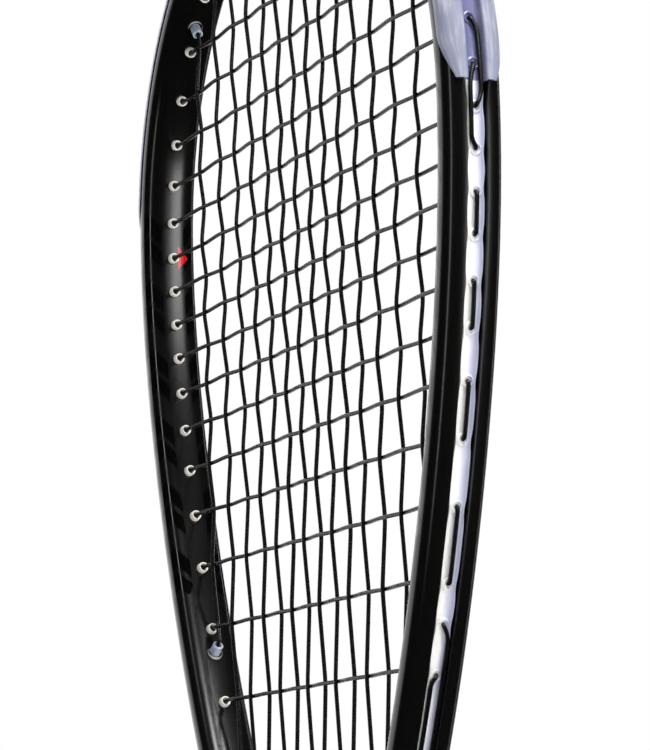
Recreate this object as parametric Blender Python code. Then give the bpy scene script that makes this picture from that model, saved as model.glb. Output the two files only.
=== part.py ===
"""Squash racket: a one-piece teardrop frame with its bumper, grommet strips, strings and handle.

Metres, +Z up. The racket stands on its butt at Z = 0 with the handle along Z, and the string bed
lies in the XZ plane. Every place on the hoop is given by a station on the frame's inner wall line
and a depth from it, measured outwards through the tube.
"""

import math

import bmesh
import bpy
from mathutils import Vector
from mathutils.geometry import interpolate_bezier, intersect_line_line_2d

# Overall sizes
LENGTH = 0.686
HEAD_WIDTH = 0.2128
TUBE_DEPTH = 0.0095
BEAM = 0.017
TUBE_WALL = 0.0016
GAP = 0.0003

# The hoop's inner wall line: a near-round top, long sides, and straight arms down to the throat
WIDEST_DROP = 0.1013
ARM_DROP = 0.2589
ARM_HALF_WIDTH = 0.0588
ARM_SLOPE = 0.45
TOP_HANDLE = 0.045
SHOULDER_HANDLE = 0.0665
SIDE_HANDLE = 0.0562
ARM_HANDLE = 0.0372
THROAT_RADIUS = 0.003
FILLET_STEPS = 6
CURVE_STEPS = 60
STATION_STEP = 0.0125

# The tube's outside, from its inner face to the groove's edge: shares of its depth and half beam
TUBE_SHAPE = ((0, 0.33), (0.06, 0.66), (0.23, 1), (0.48, 0.985), (0.77, 0.8), (0.95, 0.58))

# The groove round the outside of the hoop, and what lies in it
GROOVE_HALF = 0.00285
GROOVE_DEPTH = 0.0029
STRIP_THICKNESS = 0.0011
STRING_RADIUS = 0.0006
LANE = 0.00155
LANE_SHIFT = 0.0018
BUMPER_THICKNESS = 0.0008
BUMPER_WING = 0.0062
BUMPER_END_RISE = 0.0045
BUMPER_TAPER = 0.011

# Grommet barrels, and the soft tubes on the mains' sharpest bends
BARREL_RADIUS = 0.0015
BARREL_BORE = 0.001
BARREL_TIP = 0.0017
BARREL_TILT = 0.35
TUBE_OVER_STRING = 0.0004
TUBE_SKIN = 0.0003
TUBE_TIP = 0.0034
HOLE_SIDES = 6

# The string bed
MAINS = 14
MAIN_PITCH = 0.00476
MAIN_SPREAD = 0.00103
MAIN_FAN = 0.34
FAN_CENTRE_DROP = 0.0937
CROSSES = 18
CENTRE_CROSS = 11.41
CROSS_TOP_DROP = 0.029
CROSS_GAP = 0.0106
CROSS_UP_GROWTH = 0.00064
CROSS_DOWN_GROWTH = 0.000014
CROSS_DOWN_POWER = 3.0
WEAVE = 0.00075
TAIL = 0.003

# Which side of the groove a cross's outer loop keeps to, where it passes another string's hole:
# (side of the hoop, the lower cross of the loop), crosses counted from 0 at the throat end
CROSS_LANES = {
    ("right", 0): -1,
    ("left", 1): -1,
    ("right", 10): -1,
    ("right", 11): 1,
    ("left", 15): -1,
    ("right", 16): 1,
}
SWAPPED_CROSS = 12

# Shaft and handle
SHAFT_HALF = (0.0098, 0.0086)
SHAFT_TOP_HALF = (0.0112, 0.0089)
SHAFT_WALL = 0.0017
SHAFT_FOOT = 0.0045
HANDLE_TOP = 0.205
PALLET_HALF = (0.0136, 0.0122)
CAP_WALL = 0.0012
CAP_HEIGHT = 0.032
CAP_FLARE = 0.0018
CAP_FLOOR = 0.0018
PLUG_RADIUS = 0.0075
PLUG_LIP = 0.0015
GRIP_THICKNESS = 0.0018
TAPE_THICKNESS = 0.0003
TAPE_HEIGHT = 0.014
COLLAR_TOP = 0.228
COLLAR_WALL = 0.0012
WEIGHT_LENGTH = 0.03
STAPLE_WIDTH = 0.009
STAPLE_LEG = 0.0042
STAPLE_WIRE = 0.0006
GRIP_FOOT = 0.0165
GRIP_EASE = 0.006
FLARE_FROM = 0.0025
FLARE_TO = 0.010
FLARE_END = 0.0155
COLLAR_RIM = 0.003
COLLAR_NECK = 0.004
ROUND_SIDES = 16

BUMPER_OUT = GAP + BUMPER_THICKNESS
INNER_TOP = LENGTH - BUMPER_OUT - TUBE_DEPTH
INNER_HALF_WIDTH = HEAD_WIDTH / 2 - TUBE_DEPTH
WIDEST_Z = INNER_TOP - WIDEST_DROP
ARM_Z = INNER_TOP - ARM_DROP
GROOVE_FLOOR = TUBE_DEPTH - GROOVE_DEPTH
STRIP_FLOOR = GROOVE_FLOOR + GAP
STRIP_TOP = STRIP_FLOOR + STRIP_THICKNESS
STRING_DEPTH = STRIP_TOP + GAP + STRING_RADIUS
STRIP_HALF = GROOVE_HALF - GAP
BUMPER_LIP_HALF = STRIP_HALF + BUMPER_THICKNESS
WIDE_GROOVE_HALF = BUMPER_LIP_HALF + GAP
TUBE_BORE = STRING_RADIUS + TUBE_OVER_STRING
TUBE_RADIUS = TUBE_BORE + TUBE_SKIN
WIDE_BORE = TUBE_RADIUS + 1.2 * GAP
WIDE_BARREL = WIDE_BORE + BARREL_RADIUS - BARREL_BORE
HALF_BEAM = BEAM / 2
FAN_CENTRE_Z = INNER_TOP - FAN_CENTRE_DROP
BUMPER_END_Z = FAN_CENTRE_Z - BUMPER_END_RISE
HALF_MAINS = MAINS // 2


def clear_scene():
    for old in list(bpy.data.objects):
        bpy.data.objects.remove(old)


def material(name, colour, roughness, metallic=0.0):
    made = bpy.data.materials.new(name)
    made.use_nodes = True
    shader = made.node_tree.nodes["Principled BSDF"]
    shader.inputs["Base Color"].default_value = (*colour, 1)
    shader.inputs["Roughness"].default_value = roughness
    shader.inputs["Metallic"].default_value = metallic
    made.diffuse_color = (*colour, 1)
    return made


def finish(name, bm, look):
    """Turns a bmesh into a named object with its material, faces out."""
    bmesh.ops.recalc_face_normals(bm, faces=bm.faces)
    mesh = bpy.data.meshes.new(name)
    bm.to_mesh(mesh)
    bm.free()
    mesh.materials.append(look)
    made = bpy.data.objects.new(name, mesh)
    bpy.context.scene.collection.objects.link(made)
    mesh.shade_smooth()
    mesh.set_sharp_from_angle(angle=math.radians(35))
    return made


def as_cutter(made):
    made.hide_render = True
    made.display_type = "WIRE"
    return made


def combine(target, other, operation):
    """Joins or cuts with the exact solver; the other object stays as a hidden helper."""
    as_cutter(other)
    modifier = target.modifiers.new(operation.lower() + "_" + other.name, "BOOLEAN")
    modifier.operation = operation
    modifier.solver = "EXACT"
    modifier.object = other
    return target


def skin(bm, loops, closed=False):
    """Adds quads along a row of equal loops of points.

    An open row gets flat caps, and a closed row joins its ends.
    """
    rows = [[bm.verts.new(point) for point in points] for points in loops]
    following = rows[1:] + (rows[:1] if closed else [])
    for row, after in zip(rows, following):
        for i, corner in enumerate(row):
            bm.faces.new((row[i - 1], corner, after[i], after[i - 1]))
    if not closed:
        bm.faces.new(rows[0])
        bm.faces.new(rows[-1])


def loft(loops, closed=False):
    bm = bmesh.new()
    skin(bm, loops, closed)
    return bm


# The hoop


class Station:
    """A place on the inner wall line, with the direction out through the tube."""

    def __init__(self, place, outward, distance):
        self.place = place
        self.outward = outward
        self.distance = distance

    def at(self, depth, y=0.0):
        flat = self.place + self.outward * depth
        return Vector((flat.x, y, flat.y))


def bezier(start, start_handle, end_handle, end):
    return interpolate_bezier(start, start_handle, end_handle, end, CURVE_STEPS)


def half_outline():
    """The inner wall line's right half as 2-D points, from the throat's middle to the top."""
    arm_angle = math.atan(ARM_SLOPE)
    sharp_end_z = ARM_Z - ARM_HALF_WIDTH / ARM_SLOPE
    fillet_z = sharp_end_z + THROAT_RADIUS / math.sin(arm_angle)
    swing = math.radians(90) - arm_angle
    turns = [swing * step / FILLET_STEPS for step in range(FILLET_STEPS + 1)]
    fillet = [
        Vector((math.sin(turn), -math.cos(turn))) * THROAT_RADIUS + Vector((0, fillet_z)) for turn in turns
    ]
    arm_top = Vector((ARM_HALF_WIDTH, ARM_Z))
    along = Vector((ARM_SLOPE, 1)).normalized()
    arm = [fillet[-1].lerp(arm_top, step / CURVE_STEPS) for step in range(1, CURVE_STEPS)]
    widest = Vector((INNER_HALF_WIDTH, WIDEST_Z))
    top = Vector((0, INNER_TOP))
    side = bezier(arm_top, arm_top + along * ARM_HANDLE, widest - Vector((0, SIDE_HANDLE)), widest)
    crown = bezier(
        widest, widest + Vector((0, SHOULDER_HANDLE)), top + Vector((TOP_HANDLE, 0)), top
    )
    return [*fillet, *arm, *[p.to_2d() for p in side], *[p.to_2d() for p in crown[1:]]]


def make_stations():
    """Stations round the whole hoop, counter-clockwise from the throat, as seen from the front."""
    right = half_outline()
    left = [Vector((-p.x, p.y)) for p in reversed(right[1:-1])]
    points = right + left
    stations, distance = [], 0.0
    for i, point in enumerate(points):
        before, after = points[i - 1], points[(i + 1) % len(points)]
        along = (after - before).normalized()
        if i:
            distance += (point - before).length
        stations.append(Station(point, Vector((along.y, -along.x)), distance))
    return stations


STATIONS = make_stations()
BUMPER_FOOT = next(i for i, s in enumerate(STATIONS) if s.place.y > BUMPER_END_Z)


def nearest_index(point, depth=0.0):
    """The index of the station whose point at this depth lies nearest to a 2-D point."""
    return min(
        range(len(STATIONS)),
        key=lambda i: (STATIONS[i].place + STATIONS[i].outward * depth - point).length,
    )


def spaced(first, last, step):
    """Station indices from first to last, either way round the hoop's order, about a step apart."""
    way = 1 if last >= first else -1
    chosen = [first]
    for i in range(first, last + way, way):
        if abs(STATIONS[i].distance - STATIONS[chosen[-1]].distance) >= step:
            chosen.append(i)
    if len(chosen) > 1 and abs(STATIONS[chosen[-1]].distance - STATIONS[last].distance) < step / 2:
        chosen.pop()
    return [*chosen, last] if chosen[-1] != last else chosen


def shared_indices():
    """The stations that every sweep round the hoop shares, so that nested pieces keep their gap."""
    bend = [i for i, s in enumerate(STATIONS) if s.distance < 2 * THROAT_RADIUS][::2]
    arm = spaced(bend[-1], BUMPER_FOOT - 1, STATION_STEP)
    crown = spaced(BUMPER_FOOT, len(STATIONS) // 2, STATION_STEP)
    half = [*bend[:-1], *arm, *crown]
    return [*half, *[len(STATIONS) - i for i in reversed(half[1:-1])]]


def shared_stations(first=0, last=None):
    """The shared stations between two indices, with the stations at the two ends themselves."""
    last = len(STATIONS) if last is None else last
    indices = sorted({first, min(last, len(STATIONS) - 1), *SHARED})
    return [STATIONS[i] for i in indices if first <= i <= last]


SHARED = shared_indices()
THROAT_Z = STATIONS[0].place.y
SHAFT_TOP = THROAT_Z - 0.16 * TUBE_DEPTH


def mirrored(half):
    """A closed section from its +Y half, which runs from the inner side's middle outwards."""
    return [*half, *[(n, -y) for n, y in reversed(half) if y > 0]]


def tube_half():
    """The tube's outside from the middle of its inner side to the groove's edge, as (depth, y)."""
    return [(deep * TUBE_DEPTH, wide * HALF_BEAM) for deep, wide in TUBE_SHAPE]


def tube_section(groove_half):
    edge = [(TUBE_DEPTH, groove_half), (GROOVE_FLOOR, groove_half - 0.1 * GAP)]
    return mirrored([*tube_half(), *edge])


def hollow_section():
    """The tube's inside, clear of the groove's floor by one wall."""
    far = GROOVE_FLOOR - TUBE_WALL
    reach = HALF_BEAM - TUBE_WALL
    return mirrored([(TUBE_WALL, 0.55 * reach), (0.3 * TUBE_DEPTH, 0.95 * reach), (far, 0.93 * reach)])


def sweep(stations, section, closed=False):
    """Skins a section, or a function that gives one for a station, along the stations."""
    chosen = section if callable(section) else lambda station: section
    return loft([[s.at(n, y) for n, y in chosen(s)] for s in stations], closed)


# Holes, one for each string end


class Hole:
    """A drilled hole: where its axis meets the inner wall, and which way it runs out.

    The string runs straight to the barrel's tip, which stands in from the wall, and bends there.
    """

    def __init__(self, string_hit, heading, tubed=False):
        outward = STATIONS[nearest_index(string_hit)].outward
        self.axis = (outward + heading * BARREL_TILT).normalized()
        self.slant = self.axis.dot(outward)
        tip = string_hit - heading * (BARREL_TIP / heading.dot(outward))
        self.place = tip + self.axis * (BARREL_TIP / self.slant)
        self.tubed = tubed
        self.mouth_index = nearest_index(self.flat(STRING_DEPTH), STRING_DEPTH)

    def flat(self, depth):
        return self.place + self.axis * (depth / self.slant)

    def at(self, depth, y=0.0):
        flat = self.flat(depth)
        return Vector((flat.x, y, flat.y))

    def bumpered(self):
        return self.place.y > BUMPER_END_Z


def wall_hit(start, heading):
    """Where a line from inside the hoop first meets the inner wall line."""
    far = start + heading * LENGTH
    for before, after in zip(STATIONS, STATIONS[1:] + STATIONS[:1]):
        hit = intersect_line_line_2d(start, far, before.place, after.place)
        if hit:
            return hit
    raise ValueError("the string line misses the wall")


def cross_heights():
    """Heights of the crosses, lowest first. The gaps widen above and below the sweet spot."""
    heights = [INNER_TOP - CROSS_TOP_DROP]
    for number in range(CROSSES - 1, 0, -1):
        offset = number - CENTRE_CROSS
        up = CROSS_UP_GROWTH * max(offset, 0)
        down = CROSS_DOWN_GROWTH * max(-offset, 0) ** CROSS_DOWN_POWER
        heights.insert(0, heights[0] - CROSS_GAP - up - down)
    return heights


def main_line(number):
    """(a point on the main at the fan's centre height, its upward direction); mains count from -X."""
    odd = 2 * number + 1 - MAINS
    offset = MAIN_PITCH * odd * (1 + MAIN_SPREAD * odd * odd)
    return Vector((offset, FAN_CENTRE_Z)), Vector((MAIN_FAN * offset, 1)).normalized()


def main_x(number, height):
    place, heading = main_line(number)
    return place.x + heading.x / heading.y * (height - place.y)


def tubed_main(number, end):
    """Soft tubes go where a main meets the wall most steeply: its outermost tops, and low down."""
    from_edge = min(number, MAINS - 1 - number)
    return from_edge < (1 if end == "top" else 4)


def make_holes():
    holes = {}
    for number, height in enumerate(CROSS_HEIGHTS):
        for end, side in (("left", -1), ("right", 1)):
            heading = Vector((side, 0))
            hit = wall_hit(Vector((0, height)), heading)
            holes["cross", number, end] = Hole(hit, heading)
    for number in range(MAINS):
        place, upward = main_line(number)
        for end, heading in (("top", upward), ("bottom", -upward)):
            hit = wall_hit(place, heading)
            holes["main", number, end] = Hole(hit, heading, tubed_main(number, end))
    return holes


def tie_hole(first, second):
    """An extra hole halfway between two others, where a string's end is brought back in and tied."""
    middle = (first.mouth_index + second.mouth_index) // 2
    station = STATIONS[middle]
    return Hole(station.place, station.outward)


CROSS_HEIGHTS = cross_heights()
HOLES = make_holes()
LAST_CROSS = CROSSES - 1
TIES = {
    "cross_top": tie_hole(HOLES["cross", LAST_CROSS, "left"], HOLES["main", 1, "top"]),
    "cross_bottom": tie_hole(HOLES["cross", 0, "left"], HOLES["main", 2, "bottom"]),
    "main_left": tie_hole(HOLES["main", 2, "bottom"], HOLES["main", 3, "bottom"]),
    "main_right": tie_hole(HOLES["main", MAINS - 3, "bottom"], HOLES["main", MAINS - 4, "bottom"]),
}
ALL_HOLES = [*HOLES.values(), *TIES.values()]


def peg(hole, radius, inner_depth, outer_depth):
    """The two loops of a prism along a hole's axis."""
    across = Vector((hole.axis.y, 0, -hole.axis.x))
    loops = []
    for depth in (inner_depth, outer_depth):
        centre = hole.at(depth)
        turns = [math.tau * (side + 0.5) / HOLE_SIDES for side in range(HOLE_SIDES)]
        loops.append(
            [centre + (across * math.cos(t) + Vector((0, 1, 0)) * math.sin(t)) * radius for t in turns]
        )
    return loops


def pegs(name, holes, radius_of, inner_depth, outer_depth, look):
    """Separate prisms along many holes, as one helper object."""
    whole = bmesh.new()
    for hole in holes:
        skin(whole, peg(hole, radius_of(hole), inner_depth, outer_depth))
    return finish(name, whole, look)


def barrel_radius(hole):
    return WIDE_BARREL if hole.tubed else BARREL_RADIUS


def drill_radius(hole):
    return barrel_radius(hole) + 1.3 * GAP


def bore_radius(hole):
    return WIDE_BORE if hole.tubed else BARREL_BORE


# Frame


def rounded(half_x, half_y, z):
    """A twelve-sided rounded rectangle at a height."""
    corner = 0.42 * min(half_x, half_y)
    points = []
    for turn, (sx, sy) in enumerate(((1, 1), (-1, 1), (-1, -1), (1, -1))):
        for step in range(3):
            angle = math.radians(90 * turn + 45 * step)
            x = sx * (half_x - corner) + corner * math.cos(angle)
            y = sy * (half_y - corner) + corner * math.sin(angle)
            points.append(Vector((x, y, z)))
    return points


def groove_half_at(station):
    return WIDE_GROOVE_HALF if station.place.y > BUMPER_END_Z else GROOVE_HALF


def make_frame(look):
    hoop = sweep(shared_stations(), lambda s: tube_section(groove_half_at(s)), closed=True)
    frame = finish("frame", hoop, look)
    shaft = loft(
        [
            rounded(*SHAFT_TOP_HALF, SHAFT_TOP),
            rounded(*SHAFT_TOP_HALF, THROAT_Z - TUBE_DEPTH),
            rounded(*SHAFT_HALF, COLLAR_TOP),
            rounded(*SHAFT_HALF, SHAFT_FOOT),
        ]
    )
    combine(frame, finish("shaft_solid", shaft, look), "UNION")
    hollow = sweep(shared_stations()[::2], hollow_section(), closed=True)
    combine(frame, finish("hoop_hollow", hollow, look), "DIFFERENCE")
    bore_half = [half - SHAFT_WALL for half in SHAFT_HALF]
    bore_top = THROAT_Z - 0.5 * GROOVE_FLOOR
    bore = loft([rounded(*bore_half, bore_top), rounded(*bore_half, -SHAFT_FOOT)])
    combine(frame, finish("shaft_bore", bore, look), "DIFFERENCE")
    drills = pegs("hole_drills", ALL_HOLES, drill_radius, -BARREL_TIP, STRING_DEPTH, look)
    combine(frame, drills, "DIFFERENCE")


# Bumper and grommet strips


def walk(points, fraction):
    """The point at a fraction of a polyline's length."""
    lengths = [(Vector(b) - Vector(a)).length for a, b in zip(points, points[1:])]
    left = fraction * sum(lengths)
    for a, b, length in zip(points, points[1:], lengths):
        if left <= length:
            return tuple(Vector(a).lerp(Vector(b), left / length))
        left -= length
    return points[-1]


def offset(points, distance):
    """An open polyline moved sideways, away from the tube's middle."""
    moved = []
    for i, point in enumerate(points):
        along = Vector(points[min(i + 1, len(points) - 1)]) - Vector(points[max(i - 1, 0)])
        side = Vector((along.y, -along.x)).normalized()
        if side.dot(Vector((1, 1))) < 0:
            side.negate()
        moved.append(tuple(Vector(point) + side * distance))
    return moved


def bumper_section(spread):
    """The bumper across the tube: a floor in the groove, two lips, and wings over the shoulders."""
    shoulder = [(TUBE_DEPTH, WIDE_GROOVE_HALF), *reversed(tube_half())]
    reach = BUMPER_WING * max(spread, 0.06)
    whole = sum((Vector(b) - Vector(a)).length for a, b in zip(shoulder, shoulder[1:]))
    cut = [walk(shoulder, share * reach / whole) for share in (0.0, 0.33, 0.66, 1.0)]
    under = offset(cut, 1.15 * GAP)
    over = offset(cut, BUMPER_OUT)
    half = [
        (STRIP_FLOOR, BUMPER_LIP_HALF),
        (TUBE_DEPTH + 1.15 * GAP, BUMPER_LIP_HALF),
        *under[1:],
        *reversed(over[1:]),
        (TUBE_DEPTH + BUMPER_OUT, BUMPER_LIP_HALF - 0.2 * BUMPER_THICKNESS),
        (TUBE_DEPTH, STRIP_HALF),
        (STRIP_TOP, STRIP_HALF),
    ]
    return mirrored(half)


def grommet_piece(name, stations, section, holes, look):
    """A strip with its barrels joined on and bored through."""
    strip = finish(name, sweep(stations, section), look)
    solid_top = STRIP_TOP - 0.3 * STRIP_THICKNESS
    barrels = pegs(name + "_barrels", holes, barrel_radius, -BARREL_TIP, solid_top, look)
    combine(strip, barrels, "UNION")
    bores = pegs(name + "_bores", holes, bore_radius, -2 * BARREL_TIP, STRING_DEPTH, look)
    combine(strip, bores, "DIFFERENCE")


def make_bumper(look):
    mirror_foot = len(STATIONS) - BUMPER_FOOT
    start, end = STATIONS[BUMPER_FOOT].distance, STATIONS[mirror_foot].distance

    def section(station):
        inward = min(station.distance - start, end - station.distance)
        rest = min(max(1 - inward / BUMPER_TAPER, 0), 1)
        return bumper_section(math.sqrt(1 - rest**2))

    stations = [
        STATIONS[i]
        for i in range(BUMPER_FOOT, mirror_foot + 1)
        if i in SHARED or min(STATIONS[i].distance - start, end - STATIONS[i].distance) < BUMPER_TAPER
    ]
    holes = [hole for hole in ALL_HOLES if hole.bumpered()]
    grommet_piece("head_bumper", stations, section, holes, look)


def make_strip(side, look):
    """A grommet strip from just below the bumper's end down one arm to the top of the shaft."""
    low = next(i for i, s in enumerate(STATIONS) if s.at(GROOVE_FLOOR).z > SHAFT_TOP + STRIP_THICKNESS)
    ends = (low, BUMPER_FOOT - 1)
    if side < 0:
        ends = (len(STATIONS) - ends[1], len(STATIONS) - ends[0])
    section = [
        (STRIP_FLOOR, STRIP_HALF),
        (STRIP_TOP, STRIP_HALF),
        (STRIP_TOP, -STRIP_HALF),
        (STRIP_FLOOR, -STRIP_HALF),
    ]
    holes = [h for h in ALL_HOLES if not h.bumpered() and h.place.x * side > 0]
    name = "grommet_strip_left" if side < 0 else "grommet_strip_right"
    grommet_piece(name, shared_stations(*ends), section, holes, look)


def make_soft_tubes(look):
    """Clear tubes through the steepest barrels, longer inside the hoop than the barrels are."""
    for (_, number, end), hole in HOLES.items():
        if not hole.tubed:
            continue
        name = f"soft_tube_{end}_{number + 1}"
        outer = peg(hole, TUBE_RADIUS, -TUBE_TIP, STRIP_TOP)
        inner = peg(hole, TUBE_BORE, -TUBE_TIP, STRIP_TOP)
        finish(name, loft([outer[0], outer[1], inner[1], inner[0]], closed=True), look)


# Strings


def groove_run(first, second, lane):
    """Points from one hole's mouth along the groove to another's, moved aside to a lane."""
    way = 1 if second.mouth_index > first.mouth_index else -1
    start, end = (STATIONS[h.mouth_index].distance for h in (first, second))
    clear = [
        i
        for i in range(first.mouth_index, second.mouth_index, way)
        if min(abs(STATIONS[i].distance - start), abs(STATIONS[i].distance - end)) > LANE_SHIFT
    ]
    run = [STATIONS[i].at(STRING_DEPTH, lane * LANE) for i in spaced(clear[0], clear[-1], STATION_STEP)]
    return [first.at(STRING_DEPTH), *run, second.at(STRING_DEPTH)]


def inside_tip(hole):
    return hole.at(-(TUBE_TIP if hole.tubed else BARREL_TIP) - 1.2 * STRING_RADIUS)


def crossing_height(main, cross):
    """+1 where the main passes in front of (-Y side of) the cross, -1 where behind."""
    return 1 if (main + cross) % 2 else -1


def wall_half_width(height):
    return wall_hit(Vector((0, height)), Vector((1, 0))).x


def main_bed(number, upward):
    """Points of one main across the bed, from tip to tip."""
    low, high = (HOLES["main", number, end] for end in ("bottom", "top"))
    points = [inside_tip(low)]
    for cross, height in enumerate(CROSS_HEIGHTS):
        x = main_x(number, height)
        inside = low.place.y + 2 * TUBE_TIP < height < high.place.y - 2 * TUBE_TIP
        if inside and abs(x) < wall_half_width(height):
            points.append(Vector((x, -WEAVE * crossing_height(number, cross), height)))
    points.append(inside_tip(high))
    return points if upward else points[::-1]


def cross_bed(number, rightward):
    height = CROSS_HEIGHTS[number]
    points = [inside_tip(HOLES["cross", number, "left"])]
    for main in range(MAINS):
        x = main_x(main, height)
        low, high = (HOLES["main", main, end].place.y for end in ("bottom", "top"))
        if low + 2 * TUBE_TIP < height < high - 2 * TUBE_TIP:
            points.append(Vector((x, WEAVE * crossing_height(main, number), height)))
    points.append(inside_tip(HOLES["cross", number, "right"]))
    return points if rightward else points[::-1]


def string_curve(name, points, look):
    curve = bpy.data.curves.new(name, "CURVE")
    curve.dimensions = "3D"
    curve.bevel_depth = STRING_RADIUS
    curve.bevel_resolution = 0
    curve.use_fill_caps = True
    spline = curve.splines.new("POLY")
    spline.points.add(len(points) - 1)
    for target, point in zip(spline.points, points):
        target.co = (*point, 1)
    curve.materials.append(look)
    made = bpy.data.objects.new(name, curve)
    bpy.context.scene.collection.objects.link(made)


def tied_end(last_hole, tie, lane):
    """From a string's last hole along the groove, in through the tie hole, to a short tail."""
    run = groove_run(last_hole, tie, lane)
    return [*run, inside_tip(tie), tie.at(-BARREL_TIP - TAIL)]


def half_mains():
    """The right half's mains from the top centre: (number, goes up, lane of the loop that follows)."""
    first = HALF_MAINS
    return [
        (first, False, 0),
        (first + 1, True, 0),
        (first + 2, False, 0),
        (first + 3, True, 1),
        (first + 5, False, 1),
        (first + 6, True, -1),
        (first + 4, False, 0),
    ]


def follow_mains(order, flip):
    """The points of one half of the main string, in order."""
    points = []
    for i, (number, upward, lane) in enumerate(order):
        own = MAINS - 1 - number if flip else number
        points += main_bed(own, upward)
        hole = HOLES["main", own, "top" if upward else "bottom"]
        if i + 1 < len(order):
            after = order[i + 1][0]
            target = HOLES["main", MAINS - 1 - after if flip else after, "top" if upward else "bottom"]
            points += groove_run(hole, target, lane)
        else:
            points += tied_end(hole, TIES["main_left" if flip else "main_right"], lane)
    return points


def make_main_string(look):
    """One string, started at the top centre and worked out to both sides."""
    right = follow_mains(half_mains(), flip=False)
    left = follow_mains(half_mains(), flip=True)
    middle = groove_run(HOLES["main", HALF_MAINS - 1, "top"], HOLES["main", HALF_MAINS, "top"], 0)
    string_curve("main_string", [*reversed(left), *middle, *right], look)


def cross_order():
    """The crosses from the top down, with two swapped just under the bumper's end."""
    order = list(range(LAST_CROSS, -1, -1))
    swap = order.index(SWAPPED_CROSS)
    order[swap], order[swap + 1] = order[swap + 1], order[swap]
    return order


def make_cross_string(look):
    order = cross_order()
    first = HOLES["cross", order[0], "left"]
    points = tied_end(first, TIES["cross_top"], 1)[::-1]
    rightward = True
    for i, number in enumerate(order):
        points += cross_bed(number, rightward)
        end = "right" if rightward else "left"
        hole = HOLES["cross", number, end]
        if i + 1 < len(order):
            after = order[i + 1]
            lane = CROSS_LANES.get((end, min(number, after)), 0)
            points += groove_run(hole, HOLES["cross", after, end], lane)
        else:
            points += tied_end(hole, TIES["cross_bottom"], 0)
        rightward = not rightward
    string_curve("cross_string", points, look)


# Handle


def octagon(half_x, half_y, z):
    """The handle's eight-sided section, with broad front and back facets."""
    cut_x, cut_y = 0.48 * half_x, 0.42 * half_y
    corners = [(half_x, half_y - cut_y), (half_x - cut_x, half_y)]
    quarter = corners + [(-x, y) for x, y in reversed(corners)]
    return [Vector((x, y, z)) for x, y in quarter + [(-x, -y) for x, y in quarter]]


def grown(half, distance):
    return tuple(side + distance for side in half)


def split_at_middle(points, side):
    """The part of a convex section on one side of the plane Y = 0, standing back by half a gap."""
    bm = bmesh.new()
    bm.faces.new([bm.verts.new(point) for point in points])
    bmesh.ops.bisect_plane(
        bm,
        geom=[*bm.verts, *bm.edges, *bm.faces],
        plane_co=(0, side * GAP / 2, 0),
        plane_no=(0, -side, 0),
        clear_outer=True,
    )
    return bm


def extruded(bm, height):
    faces = bmesh.ops.extrude_face_region(bm, geom=list(bm.faces))
    moved = [item for item in faces["geom"] if isinstance(item, bmesh.types.BMVert)]
    bmesh.ops.translate(bm, verts=moved, vec=(0, 0, height))
    return bm


def make_pallet(name, side, look, staple_slot):
    block = extruded(split_at_middle(octagon(*PALLET_HALF, SHAFT_FOOT), side), HANDLE_TOP - SHAFT_FOOT)
    pallet = finish(name, block, look)
    channel_half = grown(SHAFT_HALF, GAP)
    channel = loft([rounded(*channel_half, 2 * HANDLE_TOP), rounded(*channel_half, -SHAFT_FOOT)])
    combine(pallet, finish(name + "_channel", channel, look), "DIFFERENCE")
    if staple_slot:
        combine(pallet, staple_slot, "DIFFERENCE")


def cap_outer():
    return grown(PALLET_HALF, GAP + CAP_WALL)


def make_butt_cap(look, staple_slot):
    outer = cap_outer()
    flared = grown(outer, CAP_FLARE)
    inner = grown(PALLET_HALF, GAP)
    floor = SHAFT_FOOT - GAP
    loops = [
        octagon(*grown(outer, 0.3 * CAP_FLARE), 0),
        octagon(*flared, FLARE_FROM),
        octagon(*flared, FLARE_TO),
        octagon(*outer, FLARE_END),
        octagon(*outer, CAP_HEIGHT),
        octagon(*inner, CAP_HEIGHT),
        octagon(*inner, floor),
    ]
    cap = finish("butt_cap", loft(loops), look)
    combine(cap, turned("plug_seat", plug_profile(GAP), look), "DIFFERENCE")
    combine(cap, staple_slot, "DIFFERENCE")


def plug_profile(clearance):
    """(radius, height) pairs: a disc in the cap's floor with a wider lip inside the cap."""
    radius = PLUG_RADIUS + clearance
    foot = -clearance
    lip_foot = CAP_FLOOR + GAP - clearance
    top = SHAFT_FOOT + 3 * clearance if clearance else SHAFT_FOOT - GAP
    return [(radius, foot), (radius, lip_foot), (radius + PLUG_LIP, lip_foot), (radius + PLUG_LIP, top)]


def turned(name, profile, look):
    loops = []
    for radius, z in profile:
        turns = [math.tau * step / ROUND_SIDES for step in range(ROUND_SIDES)]
        loops.append([Vector((radius * math.cos(t), radius * math.sin(t), z)) for t in turns])
    return finish(name, loft(loops), look)


def staple(name, swell, look):
    """A U of wire: its crown on the cap's front face, its legs through it into the pallet."""
    face_y = -cap_outer()[1] - GAP / 2
    half = STAPLE_WIRE / 2 + swell
    centre_z = 0.62 * CAP_HEIGHT
    low_x = STAPLE_WIDTH / 2 - half
    high_x = STAPLE_WIDTH / 2 + half
    front, back = face_y - 2 * half, face_y + STAPLE_LEG
    right = [(high_x, front), (high_x, back), (low_x, back), (low_x, face_y)]
    outline = right + [(-x, y) for x, y in reversed(right)]
    bm = bmesh.new()
    bm.faces.new([bm.verts.new((x, y, centre_z - half)) for x, y in outline])
    return finish(name, extruded(bm, 2 * half), look)


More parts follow.
